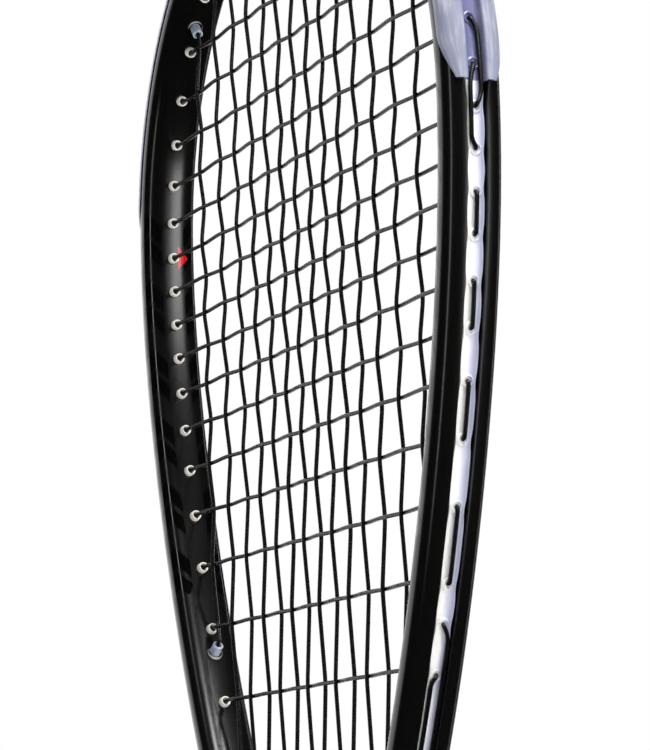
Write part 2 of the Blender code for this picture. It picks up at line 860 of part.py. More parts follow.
def make_grip(look, staple_slot):
    """The wrap as a sleeve that steps down from the cap's collar onto the pallets."""
    over_cap = grown(cap_outer(), GAP)
    over_pallet = grown(PALLET_HALF, GAP)
    step = CAP_HEIGHT + GAP
    loops = [
        octagon(*grown(over_cap, GRIP_THICKNESS), GRIP_FOOT),
        octagon(*grown(over_cap, GRIP_THICKNESS), step),
        octagon(*grown(over_pallet, GRIP_THICKNESS), step + GRIP_EASE),
        octagon(*grown(over_pallet, GRIP_THICKNESS), HANDLE_TOP),
        octagon(*over_pallet, HANDLE_TOP),
        octagon(*over_pallet, step + GAP),
        octagon(*over_cap, step),
        octagon(*over_cap, GRIP_FOOT),
    ]
    grip = finish("grip_wrap", loft(loops, closed=True), look)
    combine(grip, staple_slot, "DIFFERENCE")


def make_finishing_tape(look):
    inner = grown(PALLET_HALF, GRIP_THICKNESS + 2 * GAP)
    outer = grown(inner, TAPE_THICKNESS)
    low, high = HANDLE_TOP - TAPE_HEIGHT, HANDLE_TOP - GAP
    loops = [octagon(*outer, low), octagon(*outer, high), octagon(*inner, high), octagon(*inner, low)]
    finish("finishing_tape", loft(loops, closed=True), look)


def make_collar(look):
    """The rubber collar, from the grip's full width down to the shaft, open for it."""
    wide = grown(PALLET_HALF, GRIP_THICKNESS + 2 * GAP + TAPE_THICKNESS)
    foot = HANDLE_TOP + GAP
    collar = finish(
        "rubber_collar",
        loft(
            [
                rounded(*wide, foot),
                rounded(*wide, foot + COLLAR_RIM),
                rounded(*grown(SHAFT_HALF, GAP + COLLAR_WALL), COLLAR_TOP - COLLAR_NECK),
                rounded(*grown(SHAFT_HALF, GAP + COLLAR_WALL), COLLAR_TOP),
            ]
        ),
        look,
    )
    opening_half = grown(SHAFT_HALF, GAP)
    opening = loft([rounded(*opening_half, 2 * COLLAR_TOP), rounded(*opening_half, 0)])
    combine(collar, finish("collar_opening", opening, look), "DIFFERENCE")


def make_balance_weight(look):
    half = grown(SHAFT_HALF, -SHAFT_WALL - GAP)
    foot = SHAFT_FOOT + GAP
    loops = [rounded(*half, foot), rounded(*half, foot + WEIGHT_LENGTH)]
    finish("balance_weight", loft(loops), look)


def main():
    clear_scene()
    carbon = material("carbon_lacquer", (0.012, 0.012, 0.013), 0.28)
    frosted = material("frosted_bumper", (0.72, 0.74, 0.84), 0.4)
    nylon = material("grommet_nylon", (0.78, 0.77, 0.72), 0.45)
    clear = material("clear_tube", (0.7, 0.74, 0.85), 0.3)
    string = material("string", (0.02, 0.02, 0.022), 0.35)
    foam = material("pallet_foam", (0.62, 0.56, 0.42), 0.8)
    cap_plastic = material("cap_plastic", (0.015, 0.015, 0.016), 0.45)
    badge = material("plug_plastic", (0.35, 0.02, 0.02), 0.4)
    wrap = material("grip_wrap", (0.02, 0.02, 0.02), 0.75)
    tape = material("finishing_tape", (0.03, 0.03, 0.03), 0.4)
    rubber = material("collar_rubber", (0.018, 0.018, 0.018), 0.6)
    steel = material("staple_steel", (0.6, 0.6, 0.6), 0.3, 1.0)
    weight = material("weight_putty", (0.2, 0.2, 0.22), 0.7)

    make_frame(carbon)
    make_bumper(frosted)
    make_strip(-1, nylon)
    make_strip(1, nylon)
    make_soft_tubes(clear)
    make_main_string(string)
    make_cross_string(string)
    slot = staple("staple_slot", GAP, steel)
    as_cutter(slot)
    staple("grip_staple", 0.0, steel)
    make_pallet("handle_pallet_front", -1, foam, slot)
    make_pallet("handle_pallet_back", 1, foam, None)
    make_butt_cap(cap_plastic, slot)
    turned("butt_plug", plug_profile(0.0), badge)
    make_grip(wrap, slot)
    make_finishing_tape(tape)
    make_collar(rubber)
    make_balance_weight(weight)


main()
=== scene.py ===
# %% [markdown]
# # A squash racket
# The real racket is one hollow carbon tube, bent into a teardrop and run on into a straight shaft.
# Everything else is threaded, clipped or wound onto it: nylon grommet strips in a groove round the
# outside, a frosted bumper over the crown, two lengths of string, and a wrapped handle.
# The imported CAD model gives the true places, so it is loaded first and never moved. Each visible
# part is then built again with a finer surface, exactly where the CAD part lies.

import math

import bmesh
import bpy
from mathutils import Matrix, Quaternion, Vector
from mathutils.geometry import interpolate_bezier, intersect_line_line_2d


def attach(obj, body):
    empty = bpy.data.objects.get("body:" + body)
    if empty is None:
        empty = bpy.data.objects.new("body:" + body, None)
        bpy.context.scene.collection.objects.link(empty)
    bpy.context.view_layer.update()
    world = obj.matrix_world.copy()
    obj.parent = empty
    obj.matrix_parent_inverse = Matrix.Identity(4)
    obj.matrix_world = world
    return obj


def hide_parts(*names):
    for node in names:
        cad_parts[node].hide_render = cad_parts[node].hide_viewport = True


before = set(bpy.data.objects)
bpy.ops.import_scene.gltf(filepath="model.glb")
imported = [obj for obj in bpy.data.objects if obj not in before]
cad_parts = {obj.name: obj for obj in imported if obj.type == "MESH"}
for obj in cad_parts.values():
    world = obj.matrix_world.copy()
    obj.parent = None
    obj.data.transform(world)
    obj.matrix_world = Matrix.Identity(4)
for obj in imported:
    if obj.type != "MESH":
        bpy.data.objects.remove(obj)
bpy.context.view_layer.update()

# %% [markdown]
# ## Camera and studio
# The racket is seen from its right side, a little from the front and from below, with a long lens.
# A camera can be turned with Euler angles, but a direction to look in and a small roll are easier
# to read. Only the camera sees the room as white. Every other ray finds it almost dark, so that the
# lacquer stays black between the long highlights that the soft boxes draw down the tubes. One more
# box hangs over the head and lights the milky nylon. The floor is kept out of reflections, because
# its broad grey would lie over the satin lacquer.

# %% Camera
CAMERA_PLACE = Vector((0.7955, -0.3719, 0.3727))
CAMERA_AIM = Vector((-0.8914, 0.4227, 0.1636))
CAMERA_ROLL = math.radians(-1.65)
camera_data = bpy.data.cameras.new("camera")
camera_data.lens = 151.7
camera_data.sensor_width = 36
camera = bpy.data.objects.new("camera", camera_data)
camera.location = CAMERA_PLACE
camera.rotation_mode = "QUATERNION"
camera.rotation_quaternion = CAMERA_AIM.to_track_quat("-Z", "Y") @ Quaternion((0, 0, 1), CAMERA_ROLL)
bpy.context.scene.collection.objects.link(camera)
bpy.context.scene.camera = camera
print("camera looks along", tuple(CAMERA_AIM))

# %% White room
FILL_STRENGTH = 0.018
scene = bpy.context.scene
scene.view_settings.view_transform = "Standard"
world = bpy.data.worlds.new("studio")
scene.world = world
world.use_nodes = True
room = world.node_tree
seen = room.nodes["Background"]
seen.inputs["Color"].default_value = (1, 1, 1, 1)
seen.inputs["Strength"].default_value = 1.0
fill = room.nodes.new("ShaderNodeBackground")
fill.inputs["Color"].default_value = (1, 0.98, 0.95, 1)
fill.inputs["Strength"].default_value = FILL_STRENGTH
pick = room.nodes.new("ShaderNodeMixShader")
rays = room.nodes.new("ShaderNodeLightPath")
room.links.new(rays.outputs["Is Camera Ray"], pick.inputs[0])
room.links.new(fill.outputs[0], pick.inputs[1])
room.links.new(seen.outputs[0], pick.inputs[2])
room.links.new(pick.outputs[0], room.nodes["World Output"].inputs["Surface"])
print("room fill strength", FILL_STRENGTH)


# %% Soft boxes
AIM_HEIGHT = 0.5


def soft_box(name, bearing, height, width, tall, strength, distance=3.0, colour=(1, 1, 1)):
    """A soft box, bearing degrees round from +X, that faces the racket's head."""
    light = bpy.data.lights.new(name, "AREA")
    light.shape = "RECTANGLE"
    light.size, light.size_y = width, tall
    light.color = colour
    light.energy = strength * width * tall
    made = bpy.data.objects.new(name, light)
    turn = math.radians(bearing)
    place = Vector((distance * math.cos(turn), distance * math.sin(turn), height))
    made.location = place
    made.rotation_mode = "QUATERNION"
    aim = Vector((0, 0, AIM_HEIGHT)) - place
    made.rotation_quaternion = aim.to_track_quat("-Z", "Y")
    scene.collection.objects.link(made)


soft_box("light_behind", 163, 0.9, 4.8, 4.5, 5.6)
soft_box("light_right", 27, 0.9, 0.5, 1.8, 25.0, colour=(1, 0.98, 0.98))
soft_box("light_front_right", -52, 1.0, 0.25, 3.4, 14.0)
soft_box("light_front_left", -142, 0.9, 1.7, 4.5, 4.2)
soft_box("light_back_right", 96, 0.8, 0.16, 3.0, 10.0)
soft_box("light_over", 5, 4.2, 2.2, 2.2, 62.0, distance=2.0)
print("6 soft boxes")

# %% Floor
FLOOR_HALF = 6.0
FLOOR_DROP = 0.0005
bm = bmesh.new()
bmesh.ops.create_grid(bm, x_segments=4, y_segments=4, size=FLOOR_HALF)
bmesh.ops.translate(bm, verts=bm.verts, vec=(0, 0, -FLOOR_DROP))
floor_mesh = bpy.data.meshes.new("floor")
bm.to_mesh(floor_mesh)
bm.free()
floor = bpy.data.objects.new("floor", floor_mesh)
scene.collection.objects.link(floor)
floor_paint = bpy.data.materials.new("floor_paint")
floor_paint.use_nodes = True
paint = floor_paint.node_tree.nodes["Principled BSDF"]
paint.inputs["Base Color"].default_value = (0.8, 0.8, 0.8, 1)
paint.inputs["Roughness"].default_value = 0.9
floor_mesh.materials.append(floor_paint)
floor.visible_glossy = False
print("floor", 2 * FLOOR_HALF, "m square")

# %% [markdown]
# ## Helpers for finishes
# Every finish starts from Blender's Principled shader. Numbers that are the same all over go on
# the shader's own sockets, and what varies over the surface is drawn by a few nodes: noise for
# moulding and wear, ramps to turn it into colour, and bump for grain. Patterns that follow a sweep,
# such as the twist of a string, read the piece's own UV map, which is laid out in metres.


# %% Node helpers
def put(tree, socket, value):
    """Links a socket to another's output, or sets its number or colour."""
    if isinstance(value, bpy.types.NodeSocket):
        tree.links.new(value, socket)
    else:
        socket.default_value = value


def calc(tree, operation, first, second=0.0, third=0.0):
    node = tree.nodes.new("ShaderNodeMath")
    node.operation = operation
    for socket, value in zip(node.inputs, (first, second, third)):
        put(tree, socket, value)
    return node.outputs[0]


def diagonal(tree, first, second):
    """The long side of a right angle with these two sides."""
    squares = calc(tree, "ADD", calc(tree, "POWER", first, 2.0), calc(tree, "POWER", second, 2.0))
    return calc(tree, "SQRT", squares)


def noise(tree, vector, scale, detail=3.0, roughness=0.5):
    node = tree.nodes.new("ShaderNodeTexNoise")
    put(tree, node.inputs["Vector"], vector)
    node.inputs["Scale"].default_value = scale
    node.inputs["Detail"].default_value = detail
    node.inputs["Roughness"].default_value = roughness
    return node.outputs["Fac"]


def ramp(tree, value, stops):
    """A colour ramp; stops are (place, colour or grey)."""
    node = tree.nodes.new("ShaderNodeValToRGB")
    put(tree, node.inputs["Fac"], value)
    points = node.color_ramp.elements
    while len(points) < len(stops):
        points.new(0.5)
    for point, (place, colour) in zip(points, stops):
        point.position = place
        grey = isinstance(colour, (int, float))
        point.color = (colour, colour, colour, 1) if grey else (*colour, 1)
    return node.outputs["Color"]


def blend_colours(tree, share, first, second):
    node = tree.nodes.new("ShaderNodeMix")
    node.data_type = "RGBA"
    put(tree, node.inputs["Factor"], share)
    for socket, value in ((node.inputs["A"], first), (node.inputs["B"], second)):
        put(tree, socket, value if isinstance(value, bpy.types.NodeSocket) else (*value, 1))
    return node.outputs["Result"]


def stretched(tree, vector, scale):
    """The same coordinates, scaled differently along each axis."""
    node = tree.nodes.new("ShaderNodeMapping")
    put(tree, node.inputs["Vector"], vector)
    node.inputs["Scale"].default_value = scale
    return node.outputs["Vector"]


def split(tree, vector):
    """A vector's X, Y and Z, each on its own."""
    node = tree.nodes.new("ShaderNodeSeparateXYZ")
    put(tree, node.inputs[0], vector)
    return node.outputs["X"], node.outputs["Y"], node.outputs["Z"]


def swept_uv(tree):
    """(the vector, the distance along, the distance round) of a swept piece's own map."""
    node = tree.nodes.new("ShaderNodeUVMap")
    node.uv_map = "sweep"
    along, around, _ = split(tree, node.outputs["UV"])
    return node.outputs["UV"], along, around


def object_place(tree):
    return tree.nodes.new("ShaderNodeTexCoord").outputs["Object"]


def bump(tree, height, distance, strength=1.0, below=None):
    node = tree.nodes.new("ShaderNodeBump")
    node.inputs["Distance"].default_value = distance
    node.inputs["Strength"].default_value = strength
    put(tree, node.inputs["Height"], height)
    if below is not None:
        put(tree, node.inputs["Normal"], below)
    return node.outputs["Normal"]


def new_finish(name, colour, roughness, **constants):
    """(material, node tree, Principled shader) with the constant sockets set by name."""
    made = bpy.data.materials.new(name)
    made.use_nodes = True
    shader = made.node_tree.nodes["Principled BSDF"]
    shader.inputs["Base Color"].default_value = (*colour, 1)
    shader.inputs["Roughness"].default_value = roughness
    for socket, value in constants.items():
        shader.inputs[socket.replace("_", " ").title().replace("Ior", "IOR")].default_value = value
    return made, made.node_tree, shader


def wire(tree, shader, colour, roughness, normal):
    """Drives the three sockets that every finish varies."""
    for socket, value in (("Base Color", colour), ("Roughness", roughness), ("Normal", normal)):
        put(tree, shader.inputs[socket], value)


print("node helpers ready")

# %% [markdown]
# ## Helper for swept pieces
# Almost every part of a racket is one outline carried along a path: the tube round the hoop, the
# strips in its groove, the strings through the bed, the handle up the shaft. A curve with a bevel
# object could sweep an outline too, but it gives no say over the outline's change along the way.
# So the outline's first ring is drawn, its edges are extruded ring by ring, and each new ring is
# moved to its place. The map in metres is written at the same time.


# %% Sweeping by extrusion
def carried_ring(bm, ring, edges):
    """Extrudes a ring's edges and returns the new ring in the same order, its edges and its faces."""
    made = bmesh.ops.extrude_edge_only(bm, edges=edges)["geom"]
    number = {corner: i for i, corner in enumerate(ring)}
    fresh = [None] * len(ring)
    for corner in made:
        if isinstance(corner, bmesh.types.BMVert):
            for edge in corner.link_edges:
                old = edge.other_vert(corner)
                if old in number:
                    fresh[number[old]] = corner
    new = set(fresh)
    new_edges = [e for e in made if isinstance(e, bmesh.types.BMEdge) and new.issuperset(e.verts)]
    faces = [f for f in made if isinstance(f, bmesh.types.BMFace)]
    return fresh, new_edges, faces


def sweep(bm, rings, along, around, joined=False, capped=False):
    """Sweeps rings of points. along has a distance for each ring, around one more than a ring has
    corners, the last for the closing corner. A joined sweep ends on its first ring again."""
    layer = bm.loops.layers.uv.get("sweep") or bm.loops.layers.uv.new("sweep")
    ring = [bm.verts.new(point) for point in rings[0]]
    last = len(ring) - 1
    edges = [bm.edges.new((ring[i - 1], ring[i])) for i in range(len(ring))]
    first, first_edges = ring, edges
    for step in range(1, len(rings)):
        fresh, new_edges, faces = carried_ring(bm, ring, edges)
        place = {corner: (along[step - 1], i) for i, corner in enumerate(ring)}
        place.update({corner: (along[step], i) for i, corner in enumerate(fresh)})
        for face in faces:
            numbers = {place[loop.vert][1] for loop in face.loops}
            closing = numbers == {0, last}
            for loop in face.loops:
                distance, i = place[loop.vert]
                loop[layer].uv = (distance, around[last + 1 if closing and i == 0 else i])
        for corner, point in zip(fresh, rings[step]):
            corner.co = point
        ring, edges = fresh, new_edges
    if joined:
        bmesh.ops.remove_doubles(bm, verts=[*first, *ring], dist=1e-6)
    if capped:
        bmesh.ops.holes_fill(bm, edges=[*first_edges, *edges], sides=0)


def lengths_round(ring):
    """Distances round a closed ring of points, from its first corner back to it."""
    total, found = 0.0, [0.0]
    for before, after in zip(ring, [*ring[1:], ring[0]]):
        total += (Vector(after) - Vector(before)).length
        found.append(total)
    return found


def finished(name, bm, finish, nodes=(), smooth_angle=40):
    """Makes the piece at the origin, outward faces, its finish on, riding on the racket."""
    bmesh.ops.recalc_face_normals(bm, faces=bm.faces)
    mesh = bpy.data.meshes.new(name)
    bm.to_mesh(mesh)
    bm.free()
    mesh.materials.append(finish)
    mesh.shade_smooth()
    mesh.set_sharp_from_angle(angle=math.radians(smooth_angle))
    made = bpy.data.objects.new(name, mesh)
    bpy.context.scene.collection.objects.link(made)
    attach(made, "root")
    if nodes:
        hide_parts(*nodes)
    print(name, len(mesh.polygons), "faces")


def eased(share):
    """A share of the way, held between 0 and 1, that starts and ends gently."""
    share = min(max(share, 0), 1)
    return share * share * (3 - 2 * share)


def mixed_sizes(first, second, share):
    """A pair of sizes, a share of the way from the first to the second."""
    return [a + (b - a) * share for a, b in zip(first, second)]


# %% [markdown]
# ## The racket's sizes
# These are the CAD model's own sizes, in metres, because a piece that lies a fraction of a
# millimetre off its neighbour would cut into it. The hoop's inner wall line is the reference:
# a place is given by a station on that line and a depth outwards through the tube.

# %% Sizes of the hoop, groove, holes and strings
LENGTH = 0.686
HEAD_WIDTH = 0.2128
TUBE_DEPTH = 0.0095
HALF_BEAM = 0.0085
GAP = 0.0003
BUMPER_THICKNESS = 0.0008
BUMPER_OUT = GAP + BUMPER_THICKNESS
INNER_TOP = LENGTH - BUMPER_OUT - TUBE_DEPTH
INNER_HALF_WIDTH = HEAD_WIDTH / 2 - TUBE_DEPTH
WIDEST = Vector((INNER_HALF_WIDTH, INNER_TOP - 0.1013))
ARM_TOP = Vector((0.0588, INNER_TOP - 0.2589))
ARM_SLOPE = 0.45
ARM_PULL = 0.0372
SIDE_PULL = 0.0562
CROWN_PULL = 0.0665
TOP_PULL = 0.045
THROAT_RADIUS = 0.003
GROOVE_HALF = 0.00285
WIDE_GROOVE_HALF = 0.00365
GROOVE_FLOOR = 0.0066
STRIP_FLOOR = 0.0069
STRIP_TOP = 0.0080
STRIP_HALF = 0.00255
STRING_DEPTH = 0.0089
STRING_RADIUS = 0.0006
BARREL_RADIUS = 0.0015
BARREL_BORE = 0.001
BARREL_TIP = 0.0017
SUNK_TIP = 0.0022
BARREL_TILT = 0.35
WIDE_BARREL = 0.00216
WIDE_BORE = 0.00166
TUBE_RADIUS = 0.0013
TUBE_BORE = 0.001
TUBE_TIP = 0.0034
TUBE_SWELL = 0.0003
FAN_CENTRE_Z = INNER_TOP - 0.0937
BUMPER_END_Z = FAN_CENTRE_Z - 0.0045
BUMPER_TAPER = 0.011
print("inner wall top at", round(INNER_TOP, 4), "widest at", tuple(WIDEST))

# %% [markdown]
# ## The hoop's line
# The teardrop is drawn like a pattern on paper: a small arc in the throat, a straight arm, a long
# Bezier up the side to the widest point and another over the crown. A pull is the length of one of
# the Bezier's handles. The left half mirrors the right.


# %% Stations round the hoop
class Station:
    """A place on the inner wall line, the way out through the tube, and the distance round."""

    def __init__(self, place, outward, distance):
        self.place = place
        self.outward = outward
        self.distance = distance

    def at(self, depth, y=0.0):
        flat = self.place + self.outward * depth
        return Vector((flat.x, y, flat.y))


def half_outline(steps=60):
    arm_angle = math.atan(ARM_SLOPE)
    fillet_z = ARM_TOP.y - ARM_TOP.x / ARM_SLOPE + THROAT_RADIUS / math.sin(arm_angle)
    swing = math.radians(90) - arm_angle
    turns = [swing * step / 6 for step in range(7)]
    fillet = [Vector((math.sin(t), -math.cos(t))) * THROAT_RADIUS + Vector((0, fillet_z)) for t in turns]
    along = Vector((ARM_SLOPE, 1)).normalized()
    arm = [fillet[-1].lerp(ARM_TOP, step / steps) for step in range(1, steps)]
    side = interpolate_bezier(
        ARM_TOP, ARM_TOP + along * ARM_PULL, WIDEST - Vector((0, SIDE_PULL)), WIDEST, steps
    )
    top = Vector((0, INNER_TOP))
    crown_pull, top_pull = Vector((0, CROWN_PULL)), Vector((TOP_PULL, 0))
    crown = interpolate_bezier(WIDEST, WIDEST + crown_pull, top + top_pull, top, steps)
    return [*fillet, *arm, *[p.to_2d() for p in side], *[p.to_2d() for p in crown[1:]]]


right_half = half_outline()
outline = right_half + [Vector((-p.x, p.y)) for p in reversed(right_half[1:-1])]
STATIONS = []
travelled = 0.0
for i, point in enumerate(outline):
    before, after = outline[i - 1], outline[(i + 1) % len(outline)]
    heading = (after - before).normalized()
    if i:
        travelled += (point - before).length
    STATIONS.append(Station(point, Vector((heading.y, -heading.x)), travelled))
HOOP_LENGTH = travelled + (outline[0] - outline[-1]).length
THROAT_Z = STATIONS[0].place.y
BUMPER_FOOT = next(i for i, s in enumerate(STATIONS) if s.place.y > BUMPER_END_Z)
BUMPER_LAST = len(STATIONS) - BUMPER_FOOT
print(len(STATIONS), "stations round", round(HOOP_LENGTH, 4), "m; throat at", round(THROAT_Z, 4))

# %% [markdown]
# ## The lacquered tube
# Carbon cloth is cured round a bladder in a mould, filled, painted black and lacquered. The finish
# is satin black, with a row of glossy blocks printed down the faces of both sides that only shows
# where it catches the light. In Blender the blocks are smoother and have a thin clear coat, drawn
# from the piece's own map: the distance along the hoop and the distance round the tube.

# %% Lacquer finish
def distance_at(z):
    """How far round from the throat the right side's wall reaches a height."""
    return next(s.distance for s in STATIONS if s.place.y > z)


BLOCKS_FOOT_Z = 0.4615
BLOCKS_FROM = distance_at(BLOCKS_FOOT_Z)
BLOCKS_TO = distance_at(FAN_CENTRE_Z)
BLOCK_PITCH = 0.0215
BLOCK_SHARE = 0.62
BLOCK_SLANT = 1.1
BLOCK_MIDDLE = 0.0078
BLOCK_HALF = 0.0042
SLOT_AT = 0.3
SLOT_HALF = 0.045
MARK_BELOW_FAN = 0.0108
MARK_AT = distance_at(FAN_CENTRE_Z - MARK_BELOW_FAN)
MARK_FROM = 0.0017
MARK_HALF = 0.0036


def printed_blocks(tree, from_throat, around):
    """1 inside the print: slanted blocks with a thin slot, in a band with rounded ends."""
    off_middle = calc(tree, "SUBTRACT", calc(tree, "ABSOLUTE", around), BLOCK_MIDDLE)
    off_edge = calc(tree, "ABSOLUTE", off_middle)
    slanted = calc(tree, "MULTIPLY_ADD", off_edge, BLOCK_SLANT, from_throat)
    phase = calc(tree, "FRACT", calc(tree, "DIVIDE", slanted, BLOCK_PITCH))
    printed = calc(tree, "LESS_THAN", phase, BLOCK_SHARE)
    off_slot = calc(tree, "ABSOLUTE", calc(tree, "SUBTRACT", phase, SLOT_AT))
    beside_slot = calc(tree, "GREATER_THAN", off_slot, SLOT_HALF)
    in_band = calc(tree, "LESS_THAN", off_edge, BLOCK_HALF)
    # Near its ends the band narrows like a half circle.
    run_in = calc(tree, "SUBTRACT", from_throat, BLOCKS_FROM)
    run_out = calc(tree, "SUBTRACT", BLOCKS_TO, from_throat)
    nearest = calc(tree, "MINIMUM", run_in, run_out)
    inside = calc(tree, "GREATER_THAN", nearest, 0.0)
    short = calc(tree, "SUBTRACT", BLOCK_HALF, calc(tree, "MINIMUM", nearest, BLOCK_HALF))
    rounded = calc(tree, "LESS_THAN", diagonal(tree, short, off_edge), BLOCK_HALF)
    for mask in (beside_slot, in_band, inside, rounded):
        printed = calc(tree, "MULTIPLY", printed, mask)
    return printed


def red_flash(tree, far_side, around):
    """1 inside one small wedge on the inner wall of the left side."""
    mark_along = calc(tree, "ABSOLUTE", calc(tree, "SUBTRACT", far_side, MARK_AT))
    mark_round = calc(tree, "SUBTRACT", around, MARK_FROM)
    wedge = calc(tree, "LESS_THAN", calc(tree, "ADD", mark_round, mark_along), MARK_HALF)
    return calc(tree, "MULTIPLY", wedge, calc(tree, "GREATER_THAN", mark_round, 0.0))


def lacquer_finish():
    made, tree, shader = new_finish("carbon_lacquer", (0.003, 0.003, 0.003), 0.24)
    shader.inputs["Coat Roughness"].default_value = 0.03
    _, along, around = swept_uv(tree)
    far_side = calc(tree, "SUBTRACT", HOOP_LENGTH, along)
    printed = printed_blocks(tree, calc(tree, "MINIMUM", along, far_side), around)
    put(tree, shader.inputs["Coat Weight"], calc(tree, "MULTIPLY", printed, 0.25))
    place = object_place(tree)
    satin = calc(tree, "MULTIPLY_ADD", printed, -0.12, 0.17)
    roughness = calc(tree, "MULTIPLY_ADD", noise(tree, place, 55, 4), 0.06, satin)
    black = blend_colours(tree, printed, (0.0026, 0.0024, 0.0023), (0.001, 0.001, 0.001))
    colour = blend_colours(tree, red_flash(tree, far_side, around), black, (0.5, 0.006, 0.008))
    ripple = bump(tree, noise(tree, place, 28, 2), 0.00012, 0.35)
    fine = bump(tree, noise(tree, place, 900, 2), 0.000012, 0.5, ripple)
    wire(tree, shader, colour, roughness, fine)
    return made


lacquer = lacquer_finish()
print("lacquer ready")

# %% [markdown]
# ## The tube's section
# Cut across, the tube is a fat D: a gently rounded inner face, full shoulders, and a groove along
# the outside for strips and string. The outline is drawn from the middle of the groove's floor, up the
# groove's wall, over the front shoulder to the inner face, and mirrored. Starting in the groove
# hides the map's seam under the strips.


# %% Tube section and hoop
WIDEST_DEPTH = 0.46 * TUBE_DEPTH
RIM_SHARE = 0.5
RIM_DROP = 0.0001
INNER_DEPTH_POWER = 0.9
INNER_WIDTH_POWER = 0.66
OUTER_DEPTH_POWER = 0.82
OUTER_WIDTH_POWER = 0.62
FINE_STATIONS = 14


def shoulder_line(steps=11):
    """The tube's outside from its inner face's middle to the groove's rim, as (depth, half width).

    Two quarters of a squared circle meet where the tube is widest, near half of the way out.
    """
    inner, outer = [], []
    for step in range(steps):
        turn = math.radians(90) * step / steps
        deep = WIDEST_DEPTH * (1 - math.cos(turn) ** INNER_DEPTH_POWER)
        inner.append(Vector((deep, HALF_BEAM * math.sin(turn) ** INNER_WIDTH_POWER)))
    last = math.acos(RIM_SHARE ** (1 / OUTER_WIDTH_POWER))
    reach = (TUBE_DEPTH - RIM_DROP - WIDEST_DEPTH) / math.sin(last) ** OUTER_DEPTH_POWER
    for step in range(steps + 1):
        turn = last * step / steps
        deep = WIDEST_DEPTH + reach * math.sin(turn) ** OUTER_DEPTH_POWER
        outer.append(Vector((deep, HALF_BEAM * math.cos(turn) ** OUTER_WIDTH_POWER)))
    return inner + outer


def tube_ring(station):
    groove = WIDE_GROOVE_HALF if station.place.y > BUMPER_END_Z else GROOVE_HALF
    rim = 0.0003
    half = [
        (GROOVE_FLOOR, 0.0),
        (GROOVE_FLOOR, groove - rim),
        (GROOVE_FLOOR + rim, groove),
        (TUBE_DEPTH - 1.6 * rim, groove),
        (TUBE_DEPTH - 0.6 * rim, groove + 0.25 * rim),
        (TUBE_DEPTH - 0.15 * rim, groove + 0.8 * rim),
        *[(p.x, p.y) for p in reversed(shoulder_line())],
    ]
    front = [(depth, -y) for depth, y in half]
    back = [(depth, y) for depth, y in reversed(half[1:-1])]
    return [station.at(depth, y) for depth, y in front + back]


def centred_round(ring):
    """Distances round the tube's ring, zero at the inner face's middle and negative on the front."""
    found = lengths_round(ring)
    return [distance - found[-1] / 2 for distance in found]


bm = bmesh.new()
hoop_stations = [
    station
    for i, station in enumerate(STATIONS)
    if i < FINE_STATIONS or i > len(STATIONS) - FINE_STATIONS or i % 2 == 0
]
hoop_rings = [tube_ring(s) for s in hoop_stations]
round_tube = centred_round(hoop_rings[len(hoop_rings) // 4])
sweep(
    bm,
    [*hoop_rings, hoop_rings[0]],
    [*[s.distance for s in hoop_stations], HOOP_LENGTH],
    round_tube,
    joined=True,
)
print("hoop of", len(hoop_rings), "rings,", len(hoop_rings[0]), "corners each")

# %% [markdown]
# ## The shaft
# Below the throat both arms run into one shaft. It is lofted through rounded rectangles that
# narrow from the throat to the handle, with extra rings just under the throat, where the shaft
# swells to take in both arms.

# %% Shaft
SHAFT_HALF = (0.0098, 0.0086)
SHAFT_TOP_HALF = (0.0112, 0.0089)
SHAFT_FOOT = 0.0045
SWELL_BELOW_THROAT = 0.012
SHAFT_EDGE = 0.0008
COLLAR_TOP = 0.228


def rounded_rectangle(half_x, half_y, z, corner_share=0.62, steps=7):
    """A ring of points round a rectangle with round corners, at a height."""
    corner = corner_share * min(half_x, half_y)
    points = []
    for turn, (sx, sy) in enumerate(((1, 1), (-1, 1), (-1, -1), (1, -1))):
        for step in range(steps):
            angle = math.radians(90 * turn + 90 * step / (steps - 1))
            x = sx * (half_x - corner) + corner * math.cos(angle)
            y = sy * (half_y - corner) + corner * math.sin(angle)
            points.append(Vector((x, y, z)))
    return points


def shaft_half(z):
    """The shaft's half sizes at a height, swelling from the collar to the throat."""
    share = (z - COLLAR_TOP) / (THROAT_Z - SWELL_BELOW_THROAT - COLLAR_TOP)
    return mixed_sizes(SHAFT_HALF, SHAFT_TOP_HALF, eased(share))


shaft_top = THROAT_Z - 0.16 * TUBE_DEPTH
heights = [SHAFT_FOOT, 0.1, 0.2, 0.21, 0.22]
heights += [COLLAR_TOP + (shaft_top - 0.0006 - COLLAR_TOP) * step / 12 for step in range(13)]
shaft_rings = [rounded_rectangle(*shaft_half(z), z) for z in heights]
top_half = [side - SHAFT_EDGE for side in shaft_half(shaft_top)]
shaft_rings.append(rounded_rectangle(*top_half, shaft_top))
along = [z - LENGTH for z in [*heights, shaft_top]]
sweep(bm, shaft_rings, along, lengths_round(shaft_rings[0]), capped=True)
finished("racket_frame", bm, lacquer, ["frame"], 32)

# %% [markdown]
# ## String holes
# Every string leaves the hoop through a drilled hole, one at each end of each main and cross. The
# mains fan out a little and the crosses sit closer together at the middle. A hole leans part of the
# way from square to its string, so that the string bends gently at the barrel's tip.

# %% String lines and holes
MAINS = 14
MAIN_PITCH = 0.00476
MAIN_SPREAD = 0.00103
MAIN_FAN = 0.34
CROSSES = 18
CENTRE_CROSS = 11.41
TOP_CROSS_DROP = 0.029
CROSS_PITCH = 0.0106
CROWN_SPREAD = 0.00064
THROAT_SPREAD = 0.000014
CROSS_LANES = {
    ("right", 0): -1,
    ("left", 1): -1,
    ("right", 10): -1,
    ("right", 11): 1,
    ("left", 15): -1,
    ("right", 16): 1,
}
SWAPPED_CROSS = 12


def nearest_index(point, depth=0.0):
    return min(
        range(len(STATIONS)),
        key=lambda i: (STATIONS[i].place + STATIONS[i].outward * depth - point).length,
    )


